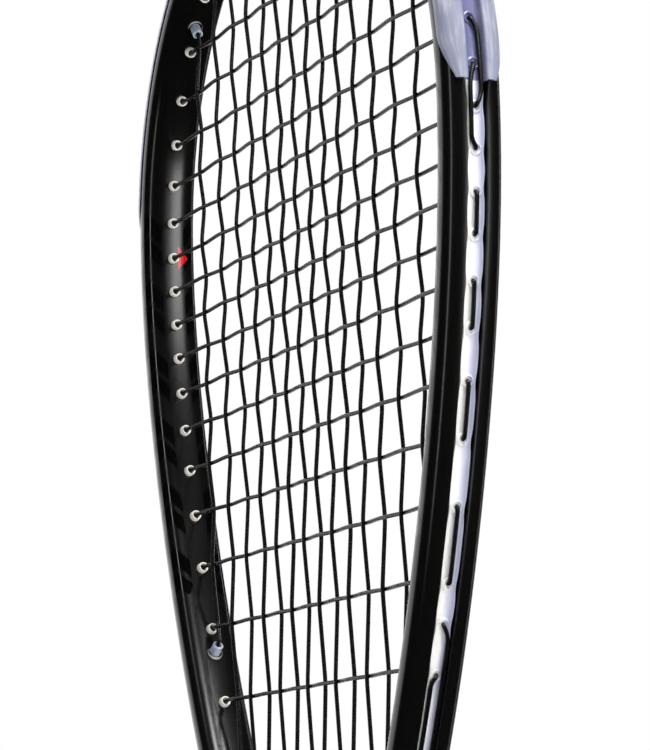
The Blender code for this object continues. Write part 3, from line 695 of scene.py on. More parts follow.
class Hole:
    """A drilled hole: where its axis meets the inner wall, and which way it runs out."""

    def __init__(self, string_hit, heading, tubed=False):
        outward = STATIONS[nearest_index(string_hit)].outward
        self.axis = (outward + heading * BARREL_TILT).normalized()
        self.slant = self.axis.dot(outward)
        tip = string_hit - heading * (BARREL_TIP / heading.dot(outward))
        self.place = tip + self.axis * (BARREL_TIP / self.slant)
        self.tubed = tubed
        self.mouth = nearest_index(self.flat(STRING_DEPTH), STRING_DEPTH)

    def flat(self, depth):
        return self.place + self.axis * (depth / self.slant)

    def at(self, depth, y=0.0):
        flat = self.flat(depth)
        return Vector((flat.x, y, flat.y))

    def bumpered(self):
        return self.place.y > BUMPER_END_Z


def wall_hit(start, heading):
    """Where a line from inside the hoop first meets the inner wall line."""
    far = start + heading * LENGTH
    for before, after in zip(STATIONS, STATIONS[1:] + STATIONS[:1]):
        hit = intersect_line_line_2d(start, far, before.place, after.place)
        if hit:
            return hit
    raise ValueError("the string line misses the wall")


def cross_heights():
    """Heights from the lowest cross up: closest at the middle, wider apart towards both ends."""
    heights = [INNER_TOP - TOP_CROSS_DROP]
    for number in range(CROSSES - 1, 0, -1):
        off = number - CENTRE_CROSS
        wider = CROWN_SPREAD * max(off, 0) + THROAT_SPREAD * max(-off, 0) ** 3
        heights.insert(0, heights[0] - CROSS_PITCH - wider)
    return heights


def main_line(number):
    """(a point on the main at the fan's centre height, its upward direction)."""
    odd = 2 * number + 1 - MAINS
    offset = MAIN_PITCH * odd * (1 + MAIN_SPREAD * odd * odd)
    return Vector((offset, FAN_CENTRE_Z)), Vector((MAIN_FAN * offset, 1)).normalized()


def main_x(number, height):
    place, heading = main_line(number)
    return place.x + heading.x / heading.y * (height - place.y)


HEIGHTS = cross_heights()
HOLES = {}
for number, height in enumerate(HEIGHTS):
    for end, side in (("left", -1), ("right", 1)):
        heading = Vector((side, 0))
        HOLES["cross", number, end] = Hole(wall_hit(Vector((0, height)), heading), heading)
for number in range(MAINS):
    place, upward = main_line(number)
    from_edge = min(number, MAINS - 1 - number)
    HOLES["main", number, "top"] = Hole(wall_hit(place, upward), upward, from_edge < 1)
    HOLES["main", number, "bottom"] = Hole(wall_hit(place, -upward), -upward, from_edge < 4)


def tie_hole(first, second):
    station = STATIONS[(first.mouth + second.mouth) // 2]
    return Hole(station.place, station.outward)


TIES = {
    "cross_top": tie_hole(HOLES["cross", CROSSES - 1, "left"], HOLES["main", 1, "top"]),
    "cross_bottom": tie_hole(HOLES["cross", 0, "left"], HOLES["main", 2, "bottom"]),
    "main_left": tie_hole(HOLES["main", 2, "bottom"], HOLES["main", 3, "bottom"]),
    "main_right": tie_hole(HOLES["main", MAINS - 3, "bottom"], HOLES["main", MAINS - 4, "bottom"]),
}
ALL_HOLES = [*HOLES.values(), *TIES.values()]
print(len(ALL_HOLES), "holes,", sum(h.tubed for h in ALL_HOLES), "with soft tubes")

# %% [markdown]
# ## Grommet strips
# A grommet strip is a long, thin moulding in milky nylon that lies in the groove and sends one
# barrel through each hole, so that the strings never touch carbon. Its edges stand up a little and
# pinch in beside each hole, and each hole has a raised round mouth for the string to bend over.
# A swept channel section gives the band; the mouths and barrels are small lathed rings, made with
# Spin once for each hole, sunk into the band and into the tube's wall.


# %% Milky nylon finish
def nylon_finish(name, lit_front_colour, middle_colour, shaded_back_colour, streak_scale):
    """Milky plastic, with painted light and shade: cream on the lit front edge, blue towards the shaded
    back.
    """
    made, tree, shader = new_finish(name, middle_colour, 0.35, coat_weight=0.3)
    shader.inputs["Subsurface Weight"].default_value = 0.35
    shader.inputs["Subsurface Radius"].default_value = (1.0, 0.9, 0.8)
    shader.inputs["Subsurface Scale"].default_value = 0.0015
    shader.inputs["Coat Roughness"].default_value = 0.15
    place = object_place(tree)
    streaks = noise(tree, stretched(tree, place, (1, 1, 0.18)), streak_scale, 3)
    across = calc(tree, "MULTIPLY_ADD", split(tree, place)[1], 1 / (2 * STRIP_HALF), 0.5)
    shifted = calc(tree, "MULTIPLY_ADD", calc(tree, "SUBTRACT", streaks, 0.5), 0.5, across)
    # Painted light and shade across the strip: cream where its front edge is lit, a darker blue towards
    # its shaded back.
    stops = [(0.0, lit_front_colour), (0.36, lit_front_colour), (0.52, middle_colour), (0.86, shaded_back_colour)]
    roughness = calc(tree, "MULTIPLY_ADD", streaks, 0.25, 0.25)
    grain = bump(tree, noise(tree, place, 1400, 2), 0.00003, 0.5)
    wire(tree, shader, ramp(tree, shifted, stops), roughness, grain)
    return made


# Each holds the colours for the lit front, the middle and the shaded back: painted light and shade.
MILKY_LIT_TO_SHADED = ((0.99, 0.97, 0.92), (0.74, 0.75, 0.86), (0.4, 0.41, 0.55))
CREAM_LIT_TO_SHADED = ((0.82, 0.78, 0.7), (0.8, 0.76, 0.69), (0.78, 0.75, 0.7))
strip_nylon = nylon_finish("milky_nylon", *MILKY_LIT_TO_SHADED, 260)
barrel_nylon = nylon_finish("cream_nylon", *CREAM_LIT_TO_SHADED, 400)
print("nylon ready")


# %% Lathed rings for mouths and barrels
def axis_turn(hole):
    """The rotation and place that stand a lathed ring on a hole's axis, +Z outwards."""
    out = Vector((hole.axis.x, 0, hole.axis.y))
    turn = out.to_track_quat("Z", "Y").to_matrix().to_4x4()
    return Matrix.Translation(hole.at(0.0)) @ turn


def lathe(bm, profile, matrix, steps):
    """Spins a profile of (radius, height) pairs once round Z and puts it in place."""
    corners = [bm.verts.new((radius, 0, height)) for radius, height in profile]
    edges = [bm.edges.new(pair) for pair in zip(corners, corners[1:])]
    old = set(bm.verts) - set(corners)
    bmesh.ops.spin(
        bm,
        geom=[*corners, *edges],
        cent=(0, 0, 0),
        axis=(0, 0, 1),
        angle=math.tau,
        steps=steps,
        use_merge=True,
    )
    bmesh.ops.transform(bm, matrix=matrix, verts=[v for v in bm.verts if v not in old])


def barrel_profile(hole):
    """From inside the tube's wall to a rounded tip, which a soft tube hides, and down the bore."""
    outer, bore = (WIDE_BARREL, WIDE_BORE) if hole.tubed else (BARREL_RADIUS, BARREL_BORE)
    edge = (outer - bore) / 2
    tip = SUNK_TIP if hole.tubed else -BARREL_TIP
    return [
        (outer + 0.0002, 0.0014),
        (outer + 0.0001, -0.0002),
        (outer, tip + 0.9 * edge),
        (outer - 0.35 * edge, tip + 0.25 * edge),
        (outer - edge, tip),
        (bore + 0.25 * edge, tip + 0.3 * edge),
        (bore, tip + edge),
        (bore, 0.0012),
    ]


def mouth_profile():
    """A raised lip round a hole's outer mouth, from the band up and over into the bore."""
    top = STRIP_TOP + 0.00045
    return [
        (0.0021, STRIP_TOP - 0.0004),
        (0.0019, STRIP_TOP + 0.00012),
        (0.0016, top - 0.0001),
        (0.0013, top),
        (0.00102, top - 0.0002),
        (0.0009, STRIP_TOP - 0.0002),
        (0.00075, STRIP_FLOOR + 0.0002),
    ]


PINCH = 0.00038
PINCH_REACH = 0.0026


def strip_half_at(distance, holes):
    """The strip's half width, pinched in beside each hole."""
    near = min(abs(STATIONS[hole.mouth].distance - distance) for hole in holes)
    return STRIP_HALF - PINCH * math.exp(-((near / PINCH_REACH) ** 2))


def strip_ring(station, holes):
    half = strip_half_at(station.distance, holes)
    lip = 0.0004
    side = [
        (STRIP_TOP, 0.0),
        (STRIP_TOP + 0.00003, 0.55 * half),
        (STRIP_TOP + 0.00014, 0.78 * half),
        (STRIP_TOP + lip, 0.88 * half),
        (STRIP_TOP + lip, 0.96 * half),
        (STRIP_TOP + 0.4 * lip, half),
        (STRIP_FLOOR + 0.0002, half),
        (STRIP_FLOOR, 0.95 * half),
    ]
    return [station.at(depth, y) for depth, y in side + [(depth, -y) for depth, y in reversed(side[1:])]]


def finely(first, last, step):
    """Stations between two indices, about a step apart, with both ends."""
    chosen = [STATIONS[first]]
    for station in STATIONS[first : last + 1]:
        if station.distance - chosen[-1].distance >= step:
            chosen.append(station)
    if chosen[-1] is not STATIONS[last]:
        chosen.append(STATIONS[last])
    return chosen


print("lathe and strip helpers ready")


# %% Strips down both arms
def between(stations, step):
    """Extra stations blended between the given ones, so that short features show."""
    full = [stations[0]]
    for before, after in zip(stations, stations[1:]):
        count = max(1, round((after.distance - before.distance) / step))
        for part in range(1, count + 1):
            share = part / count
            full.append(
                Station(
                    before.place.lerp(after.place, share),
                    before.outward.lerp(after.outward, share).normalized(),
                    before.distance + (after.distance - before.distance) * share,
                )
            )
    return full


STRIP_ABOVE_SHAFT = 0.0011
STRIP_STEP = 0.0011
strip_foot_z = shaft_top + STRIP_ABOVE_SHAFT
strip_low = next(i for i, s in enumerate(STATIONS) if s.at(GROOVE_FLOOR).z > strip_foot_z)
for side, name in ((1, "grommet_strip_right"), (-1, "grommet_strip_left")):
    ends = (strip_low, BUMPER_FOOT) if side > 0 else (BUMPER_LAST, len(STATIONS) - strip_low)
    own = [hole for hole in ALL_HOLES if not hole.bumpered() and hole.place.x * side > 0]
    stations = between(finely(*ends, 0.001), STRIP_STEP)
    bm = bmesh.new()
    rings = [strip_ring(s, own) for s in stations]
    sweep(bm, rings, [s.distance for s in stations], lengths_round(rings[0]), capped=True)
    for hole in own:
        lathe(bm, mouth_profile(), axis_turn(hole), 18)
    finished(f"milky_{name}", bm, strip_nylon, [name], 50)

# %% [markdown]
# ## Barrels on the inner wall
# From inside the hoop each barrel shows as a short cream collar with a rounded lip and a dark bore.
# They belong to the strips and the bumper, but are made as one piece, because their plastic is
# plain cream where the strips are milky.

# %% Barrels
bm = bmesh.new()
for hole in ALL_HOLES:
    lathe(bm, barrel_profile(hole), axis_turn(hole), 20)
finished("grommet_barrels", bm, barrel_nylon, smooth_angle=60)


# %% [markdown]
# ## Soft tubes
# Where a main meets the wall at a steep slant, a longer, clear, soft tube lines its hole. Each is a
# spun ring, longer than the barrel, with a rounded inner end.


# %% Clear tube finish and tubes
def clear_finish():
    made, tree, shader = new_finish("clear_soft_tube", (0.5, 0.56, 0.74), 0.28, coat_weight=0.4)
    shader.inputs["Transmission Weight"].default_value = 0.35
    shader.inputs["Subsurface Weight"].default_value = 0.2
    place = object_place(tree)
    cloud = noise(tree, place, 500, 3)
    colour = ramp(tree, cloud, [(0.3, (0.5, 0.54, 0.74)), (0.7, (0.85, 0.86, 0.92))])
    roughness = calc(tree, "MULTIPLY_ADD", cloud, 0.2, 0.15)
    wire(tree, shader, colour, roughness, bump(tree, cloud, 0.00005, 0.3))
    return made


def tube_profile():
    """From the strip's floor in to a rounded end inside the hoop, and out through the bore."""
    wall = TUBE_RADIUS - TUBE_BORE
    swollen = TUBE_RADIUS + TUBE_SWELL
    return [
        (TUBE_BORE, STRIP_FLOOR),
        (TUBE_RADIUS, STRIP_FLOOR),
        (TUBE_RADIUS, 0.0),
        (swollen, 0.0004),
        (swollen, -TUBE_TIP / 2),
        (swollen, -TUBE_TIP + wall),
        (TUBE_RADIUS, -TUBE_TIP),
        (TUBE_BORE + wall / 4, -TUBE_TIP),
        (TUBE_BORE, -TUBE_TIP + wall / 2),
        (TUBE_BORE, 0.0),
        (TUBE_BORE, STRIP_FLOOR),
    ]


clear_tube = clear_finish()
for (_, number, end), hole in HOLES.items():
    if hole.tubed:
        bm = bmesh.new()
        lathe(bm, tube_profile(), axis_turn(hole), 20)
        bmesh.ops.remove_doubles(bm, verts=bm.verts, dist=1e-6)
        name = f"soft_tube_{end}_{number + 1}"
        finished(f"clear_{name}", bm, clear_tube, [name])

# %% [markdown]
# ## Head bumper
# The bumper guards the crown against walls. It is a frosted, slightly blue moulding that clips over
# the groove, with wings over both shoulders of the tube and a channel down its middle for the
# strings. Each end narrows to a rounded tongue. Its section is swept like the strips', and the
# wings shrink near the ends like the side of an ellipse.


# %% Frosted finish
def frosted_finish():
    made, tree, shader = new_finish("frosted_bumper", (0.5, 0.53, 0.7), 0.38, coat_weight=0.35)
    shader.inputs["Subsurface Weight"].default_value = 0.4
    shader.inputs["Subsurface Radius"].default_value = (0.8, 0.9, 1.0)
    shader.inputs["Subsurface Scale"].default_value = 0.0015
    shader.inputs["Coat Roughness"].default_value = 0.2
    place = object_place(tree)
    uv = swept_uv(tree)[0]
    drawn = noise(tree, stretched(tree, uv, (60, 700, 1)), 1.0, 4, 0.6)
    cloud = noise(tree, place, 120, 3)
    mixed = calc(tree, "MULTIPLY_ADD", drawn, 0.6, calc(tree, "MULTIPLY", cloud, 0.4))
    stops = [(0.3, (0.2, 0.215, 0.33)), (0.5, (0.27, 0.285, 0.38)), (0.66, (0.46, 0.47, 0.53))]
    tint = ramp(tree, mixed, stops)
    # Painted shade: the channel down the middle is darkened towards blue-violet, for the shade that
    # falls into it.
    off_middle = calc(tree, "ABSOLUTE", split(tree, place)[1])
    channel_shade_mask = ramp(tree, calc(tree, "DIVIDE", off_middle, 0.0045), [(0.45, 1.0), (0.72, 0.0)])
    deep = blend_colours(tree, channel_shade_mask, tint, (0.10, 0.10, 0.26))
    roughness = calc(tree, "MULTIPLY_ADD", cloud, 0.2, 0.28)
    scratch = noise(tree, stretched(tree, uv, (200, 3000, 1)), 1.0, 2)
    colour = blend_colours(tree, 0.75, tint, deep)
    wire(tree, shader, colour, roughness, bump(tree, scratch, 0.00005, 0.45))
    return made


frosted = frosted_finish()
print("frosted finish ready")


# %% Bumper body
def along_line(points, reach):
    """The first part of a polyline, cut at a length."""
    kept, left = [points[0]], reach
    for a, b in zip(points, points[1:]):
        length = (b - a).length
        if length >= left:
            kept.append(a.lerp(b, left / length))
            return kept
        kept.append(b)
        left -= length
    return kept


def resampled(points, count):
    """A polyline's points, evenly spread into count."""
    total = sum((b - a).length for a, b in zip(points, points[1:]))
    return [along_line(points, max(total * i / (count - 1), 1e-9))[-1] for i in range(count)]


def pushed_out(points, distances):
    """A line over the shoulder moved away from the tube by a distance at each point."""
    moved = []
    for i, point in enumerate(points):
        along = points[min(i + 1, len(points) - 1)] - points[max(i - 1, 0)]
        side = Vector((along.y, -along.x)).normalized()
        if side.dot(Vector((1, 1))) < 0:
            side.negate()
        moved.append(point + side * distances[i])
    return moved


TONGUE_REACH = 0.0017
WING_REACH = 0.0045


def bumper_ring(station, spread):
    """The bumper's section: a channel floor, two lips, and wings that end in a thin round edge."""
    reach = TONGUE_REACH + WING_REACH * max(spread, 0.05)
    over = [Vector((TUBE_DEPTH, WIDE_GROOVE_HALF + 0.0002)), *reversed(shoulder_line(9))]
    line = resampled(along_line(over, reach), 8)
    thick = [BUMPER_OUT * share for share in (1, 1, 0.97, 0.92, 0.84, 0.74, 0.62, 0.4)]
    outer = pushed_out(line, thick)
    under = pushed_out(line, [0.9 * GAP] * 7 + [0.7 * GAP])
    lip = STRIP_HALF + BUMPER_THICKNESS
    half = [
        Vector((STRIP_TOP, 0.0)),
        Vector((STRIP_TOP, 0.7 * STRIP_HALF)),
        Vector((STRIP_TOP + 0.0002, 0.92 * STRIP_HALF)),
        Vector((STRIP_TOP + 0.0006, STRIP_HALF)),
        Vector((TUBE_DEPTH + 0.3 * BUMPER_OUT, STRIP_HALF)),
        Vector((TUBE_DEPTH + 0.8 * BUMPER_OUT, STRIP_HALF + 0.00016)),
        Vector((TUBE_DEPTH + BUMPER_OUT, STRIP_HALF + 0.0005)),
        *outer[1:],
        *reversed(under[1:]),
        Vector((TUBE_DEPTH + GAP, lip)),
        Vector((STRIP_FLOOR, lip)),
    ]
    mirror = [Vector((p.x, -p.y)) for p in reversed(half[1:])]
    return [station.at(p.x, p.y) for p in half + mirror]


BUMPER_STEP = 0.0012
bumper_stations = between(STATIONS[BUMPER_FOOT : BUMPER_LAST + 1], BUMPER_STEP)
start, end = bumper_stations[0].distance, bumper_stations[-1].distance
rings = []
for station in bumper_stations:
    from_end = min(station.distance - start, end - station.distance)
    rest = min(max(1 - from_end / BUMPER_TAPER, 0), 1)
    rings.append(bumper_ring(station, (1 - rest**1.3) ** 0.9))
bm = bmesh.new()
around = lengths_round(rings[len(rings) // 2])
sweep(bm, rings, [s.distance for s in bumper_stations], around, capped=True)
for hole in ALL_HOLES:
    if hole.bumpered():
        lathe(bm, mouth_profile(), axis_turn(hole), 18)
finished("bumper_moulding", bm, frosted, ["head_bumper"], 45)

# %% [markdown]
# ## Strings
# The racket is strung with two pieces of thin black multifilament. Mains and crosses go over and
# under each other, leave through a barrel, run along the groove and come back in at another hole,
# and end in a small knot. The route is a list of corners taken hole by hole. Each corner is rounded
# with a short Bezier, and an eight-sided ring is swept along, turned as little as possible, so that
# the string's map stays straight and the twist can be drawn on it.


# %% String finish
TWIST_PITCH = 0.00062


def string_finish():
    """Black multifilament: fine ridges wound round the string, with a painted highlight that makes their
    crests a little paler in patches.
    """
    made, tree, shader = new_finish("black_string", (0.003, 0.003, 0.003), 0.2, specular_ior_level=0.3)
    uv, along, around = swept_uv(tree)
    turn = calc(tree, "DIVIDE", around, math.tau * STRING_RADIUS)
    wound = calc(tree, "MULTIPLY_ADD", along, 1 / TWIST_PITCH, turn)
    ridge = calc(tree, "PINGPONG", wound, 0.5)
    crest = calc(tree, "SMOOTH_MIN", calc(tree, "MULTIPLY", ridge, 2.0), 0.9, 0.2)
    worn = noise(tree, object_place(tree), 240, 3)
    fibre = noise(tree, stretched(tree, uv, (900, 5000, 1)), 1.0, 2)
    # Painted highlight: the crests are a little paler, in patches broken up by a wear-like noise, for
    # the glints on the winding.
    crest_highlight_colour = ramp(tree, calc(tree, "MULTIPLY", crest, worn), [(0.4, 0.0015), (0.6, 0.008)])
    roughness = calc(tree, "MULTIPLY_ADD", fibre, 0.25, 0.12)
    coarse = bump(tree, crest, 0.00009, 0.8)
    wire(tree, shader, crest_highlight_colour, roughness, bump(tree, fibre, 0.00003, 0.4, coarse))
    return made


black_string = string_finish()
WEAVE = 0.00066
LANE = 0.00155
LANE_SHIFT = 0.0018
LOOP_STEP = 0.0045
KNOT_RADIUS = 0.00122
KNOT_RISE = 0.0009
CORNER_REACH = 0.0024
print("string finish ready")


# %% Routes, hole by hole
def inside_tip(hole):
    return hole.at(-(TUBE_TIP if hole.tubed else BARREL_TIP) - 1.2 * STRING_RADIUS)


def crossing(main, cross):
    """+1 where the main passes in front of the cross, -1 where it passes behind."""
    return 1 if (main + cross) % 2 else -1


def spaced_indices(first, last, step):
    way = 1 if last >= first else -1
    chosen = [first]
    for i in range(first, last + way, way):
        if abs(STATIONS[i].distance - STATIONS[chosen[-1]].distance) >= step:
            chosen.append(i)
    if chosen[-1] != last:
        chosen.append(last)
    return chosen


def groove_run(first, second, lane):
    """Out of one hole's mouth, along the groove in its lane, and in at another's."""
    way = 1 if second.mouth > first.mouth else -1
    start, end = (STATIONS[h.mouth].distance for h in (first, second))
    clear = [
        i
        for i in range(first.mouth, second.mouth, way)
        if min(abs(STATIONS[i].distance - start), abs(STATIONS[i].distance - end)) > LANE_SHIFT
    ]
    chosen = spaced_indices(clear[0], clear[-1], LOOP_STEP)
    run = [STATIONS[i].at(STRING_DEPTH, lane * LANE) for i in chosen]
    return [first.at(STRING_DEPTH - 0.0001), *run, second.at(STRING_DEPTH - 0.0001)]


def wall_half_width(height):
    return wall_hit(Vector((0, height)), Vector((1, 0))).x


def main_bed(number, upward):
    low, high = (HOLES["main", number, end] for end in ("bottom", "top"))
    foot, top = low.place.y + 2 * TUBE_TIP, high.place.y - 2 * TUBE_TIP
    points = [inside_tip(low)]
    for cross, height in enumerate(HEIGHTS):
        x = main_x(number, height)
        if foot < height < top and abs(x) < wall_half_width(height):
            points.append(Vector((x, -WEAVE * crossing(number, cross), height)))
    points.append(inside_tip(high))
    return points if upward else points[::-1]


def cross_bed(number, rightward):
    height = HEIGHTS[number]
    points = [inside_tip(HOLES["cross", number, "left"])]
    for main in range(MAINS):
        low, high = (HOLES["main", main, end].place.y for end in ("bottom", "top"))
        if low + 2 * TUBE_TIP < height < high - 2 * TUBE_TIP:
            points.append(Vector((main_x(main, height), WEAVE * crossing(main, number), height)))
    points.append(inside_tip(HOLES["cross", number, "right"]))
    return points if rightward else points[::-1]


def knot(tie):
    """Two turns of the end round the string just inside the tie hole, and a cut tail."""
    across = Vector((tie.axis.y, 0, -tie.axis.x))
    start = -BARREL_TIP - 0.0005
    points = []
    for step in range(17):
        turn = math.tau * step / 8
        rise = tie.at(start - 0.0022 + KNOT_RISE * step / 8)
        round_string = across * math.cos(turn) + Vector((0, 1, 0)) * math.sin(turn)
        points.append(rise + round_string * KNOT_RADIUS)
    tail = tie.at(start - 0.0034) + across * 0.0012
    return [tie.at(start), tie.at(start - 0.0026), *points, tail]


def tied_end(last_hole, tie, lane):
    return [*groove_run(last_hole, tie, lane), *knot(tie)]


print("weave", WEAVE, "to each side")


# %% Main string and cross string
# Each main's place outwards from the middle, its direction, and the lane of the loop after it.
MAIN_ORDER = [
    (0, False, 0),
    (1, True, 0),
    (2, False, 0),
    (3, True, 1),
    (5, False, 1),
    (6, True, -1),
    (4, False, 0),
]


def half_of_mains(flip):
    """One half of the main string, from the top centre out to its knot."""
    middle = MAINS // 2
    numbers = [middle - 1 - step if flip else middle + step for step, _, _ in MAIN_ORDER]
    points = []
    for i, (own, (_, upward, lane)) in enumerate(zip(numbers, MAIN_ORDER)):
        points += main_bed(own, upward)
        end = "top" if upward else "bottom"
        hole = HOLES["main", own, end]
        if i + 1 < len(MAIN_ORDER):
            points += groove_run(hole, HOLES["main", numbers[i + 1], end], lane)
        else:
            points += tied_end(hole, TIES["main_left" if flip else "main_right"], lane)
    return points


def cross_route():
    order = list(range(CROSSES - 1, -1, -1))
    swap = order.index(SWAPPED_CROSS)
    order[swap], order[swap + 1] = order[swap + 1], order[swap]
    points = tied_end(HOLES["cross", order[0], "left"], TIES["cross_top"], 1)[::-1]
    rightward = True
    for i, number in enumerate(order):
        points += cross_bed(number, rightward)
        end = "right" if rightward else "left"
        hole = HOLES["cross", number, end]
        if i + 1 < len(order):
            lane = CROSS_LANES.get((end, min(number, order[i + 1])), 0)
            points += groove_run(hole, HOLES["cross", order[i + 1], end], lane)
        else:
            points += tied_end(hole, TIES["cross_bottom"], 0)
        rightward = not rightward
    return points


def rounded_route(points, reach):
    """The route with every corner rounded by a short Bezier, no longer than its neighbours allow."""
    clean = [points[0]]
    for point in points[1:]:
        if (point - clean[-1]).length > 1e-5:
            clean.append(point)
    line = [clean[0]]
    for before, corner, after in zip(clean, clean[1:], clean[2:]):
        back, ahead = before - corner, after - corner
        bend = back.angle(-ahead, 0.0)
        if bend < math.radians(1):
            line.append(corner)
            continue
        wanted = reach if bend < math.radians(35) else 0.5 * reach
        own = min(wanted, 0.48 * back.length, 0.48 * ahead.length)
        start, end = corner + back.normalized() * own, corner + ahead.normalized() * own
        steps = 4 if bend < math.radians(25) else 7
        line += interpolate_bezier(start, start.lerp(corner, 0.6), end.lerp(corner, 0.6), end, steps)
    return [*line, clean[-1]]


def string_rings(line, sides=8):
    """Rings round a line, each turned only as far as the line bends."""
    rings, along, travelled = [], [], 0.0
    heading = (line[1] - line[0]).normalized()
    side = heading.orthogonal().normalized()
    for i, point in enumerate(line):
        ahead = (line[min(i + 1, len(line) - 1)] - line[max(i - 1, 0)]).normalized()
        side = heading.rotation_difference(ahead) @ side
        side = (side - ahead * side.dot(ahead)).normalized()
        heading = ahead
        up = heading.cross(side)
        turns = [math.tau * n / sides for n in range(sides)]
        rings.append([point + (side * math.cos(t) + up * math.sin(t)) * STRING_RADIUS for t in turns])
        if i:
            travelled += (point - line[i - 1]).length
        along.append(travelled)
    around = [math.tau * STRING_RADIUS * n / sides for n in range(sides + 1)]
    return rings, along, around


def make_string(name, node, points):
    rings, along, around = string_rings(rounded_route(points, CORNER_REACH))
    bm = bmesh.new()
    sweep(bm, rings, along, around, capped=True)
    print(name, "is", round(along[-1], 2), "m long")
    finished(name, bm, black_string, [node], 60)


middle_loop = groove_run(HOLES["main", MAINS // 2 - 1, "top"], HOLES["main", MAINS // 2, "top"], 0)
mains_route = [*reversed(half_of_mains(True)), *middle_loop, *half_of_mains(False)]
make_string("wired_mains", "main_string", mains_route)
make_string("wired_crosses", "cross_string", cross_route())

# %% [markdown]
# ## Handle
# A squash handle starts as two foam halves glued round the shaft. A moulded cap closes the butt,
# and a long padded tape is wound up over everything, each turn lapping the last, with rows of
# punched holes for grip. A strip of finishing tape holds its end, just below a rubber collar. Cap,
# grip and tape are swept from eight-sided rings with rounded corners. The laps are pushed out of
# the rings by a rule, because they climb round the handle like a screw thread.

# %% Handle sizes and rings
HANDLE_TOP = 0.205
PALLET_HALF = (0.0136, 0.0122)
CAP_WALL = 0.0012
CAP_HEIGHT = 0.032
CAP_FLARE = 0.0018
GRIP_THICKNESS = 0.0018
GRIP_FOOT = 0.0165
TAPE_THICKNESS = 0.0003
TAPE_HEIGHT = 0.014
PLUG_RADIUS = 0.0075


def grown(half, distance):
    return tuple(side + distance for side in half)


def handle_ring(half, z, corner=0.0016, steps=4):
    """An eight-sided ring with rounded corners, as the CAD octagon has, at a height."""
    half_x, half_y = half
    cut_x, cut_y = 0.48 * half_x, 0.42 * half_y
    quarter = [(half_x, half_y - cut_y), (half_x - cut_x, half_y)]
    quarter += [(-x, y) for x, y in reversed(quarter)]
    corners = [Vector(p) for p in quarter + [(-x, -y) for x, y in quarter]]
    ring = []
    for i, point in enumerate(corners):
        before, after = corners[i - 1] - point, corners[(i + 1) % 8] - point
        start, end = point + before.normalized() * corner, point + after.normalized() * corner
        bend = interpolate_bezier(start, start.lerp(point, 0.6), end.lerp(point, 0.6), end, steps)
        side_end = corners[(i + 1) % 8] - after.normalized() * corner
        ring += [p.to_2d() for p in bend]
        ring += [end.lerp(side_end, part / 4) for part in (1, 2, 3)]
    return [Vector((p.x, p.y, z)) for p in ring]


print("handle ring of", len(handle_ring(PALLET_HALF, 0)), "corners")


# %% Grip finish
HOLE_ROW = 0.0044
HOLE_COLUMN = 0.0039
WRAP_SLOPE = 0.255


def grip_finish():
    """Padded black tape: fine leather-like grain, rows of small punched holes, dull where worn."""
    made, tree, shader = new_finish("grip_tape", (0.02, 0.02, 0.02), 0.7)
    shader.inputs["Sheen Weight"].default_value = 0.15
    _, along, around = swept_uv(tree)
    rows = calc(tree, "DIVIDE", calc(tree, "MULTIPLY_ADD", around, WRAP_SLOPE, along), HOLE_ROW)
    columns = calc(tree, "DIVIDE", around, HOLE_COLUMN)
    shifted = calc(tree, "MULTIPLY_ADD", calc(tree, "FLOOR", rows), 0.5, columns)
    off_row = calc(tree, "SUBTRACT", calc(tree, "FRACT", rows), 0.5)
    off_column = calc(tree, "SUBTRACT", calc(tree, "FRACT", shifted), 0.5)
    sunk = ramp(tree, diagonal(tree, off_row, off_column), [(0.09, 0.0), (0.17, 1.0)])
    place = object_place(tree)
    grain = noise(tree, place, 950, 4, 0.6)
    worn = noise(tree, place, 38, 3)
    mottle = calc(tree, "MULTIPLY_ADD", grain, 0.4, calc(tree, "MULTIPLY", worn, 0.6))
    cloth = ramp(tree, mottle, [(0.3, (0.010, 0.010, 0.011)), (0.75, (0.032, 0.032, 0.034))])
    # Painted shade: the punched holes are coloured near black, for the shade inside them.
    colour = blend_colours(tree, sunk, (0.003, 0.003, 0.003), cloth)
    roughness = calc(tree, "MULTIPLY_ADD", worn, 0.3, 0.5)
    holes = bump(tree, sunk, 0.0004, 0.8)
    wire(tree, shader, colour, roughness, bump(tree, grain, 0.00012, 0.6, holes))
    return made


# %% Wound grip
WRAP_PITCH = 0.0215
LAP = 0.16
LAP_RISE = 0.00042
LAP_SAG = 0.00016
EDGE_ROUND = 0.0007
CAP_STEP = 0.009


def lap_height(turn, z):
    """How far the winding stands out: each turn's edge rides up over the one below."""
    phase = ((z - GRIP_FOOT) / WRAP_PITCH - turn) % 1.0
    fall = max(0.0, (phase - 0.93) / 0.07)
    step = 1 - eased(phase / LAP) + fall
    return LAP_RISE * step - LAP_SAG * math.sin(math.pi * phase)


def grip_half(z):
    """The grip's base size: wide over the cap's collar, then stepping down onto the foam."""
    over_cap = grown(PALLET_HALF, 2 * GAP + CAP_WALL + GRIP_THICKNESS - LAP_RISE)
    over_pallet = grown(PALLET_HALF, GAP + GRIP_THICKNESS)
    return mixed_sizes(over_cap, over_pallet, eased((z - CAP_HEIGHT) / CAP_STEP))


def pushed_ring(ring, z, amount):
    """The ring with each corner moved outwards by a rule of its turn and height."""
    moved = []
    for point in ring:
        out = Vector((point.x, point.y, 0)).normalized()
        turn = math.atan2(point.y, point.x) / math.tau
        moved.append(point + out * amount(turn, z))
    return moved


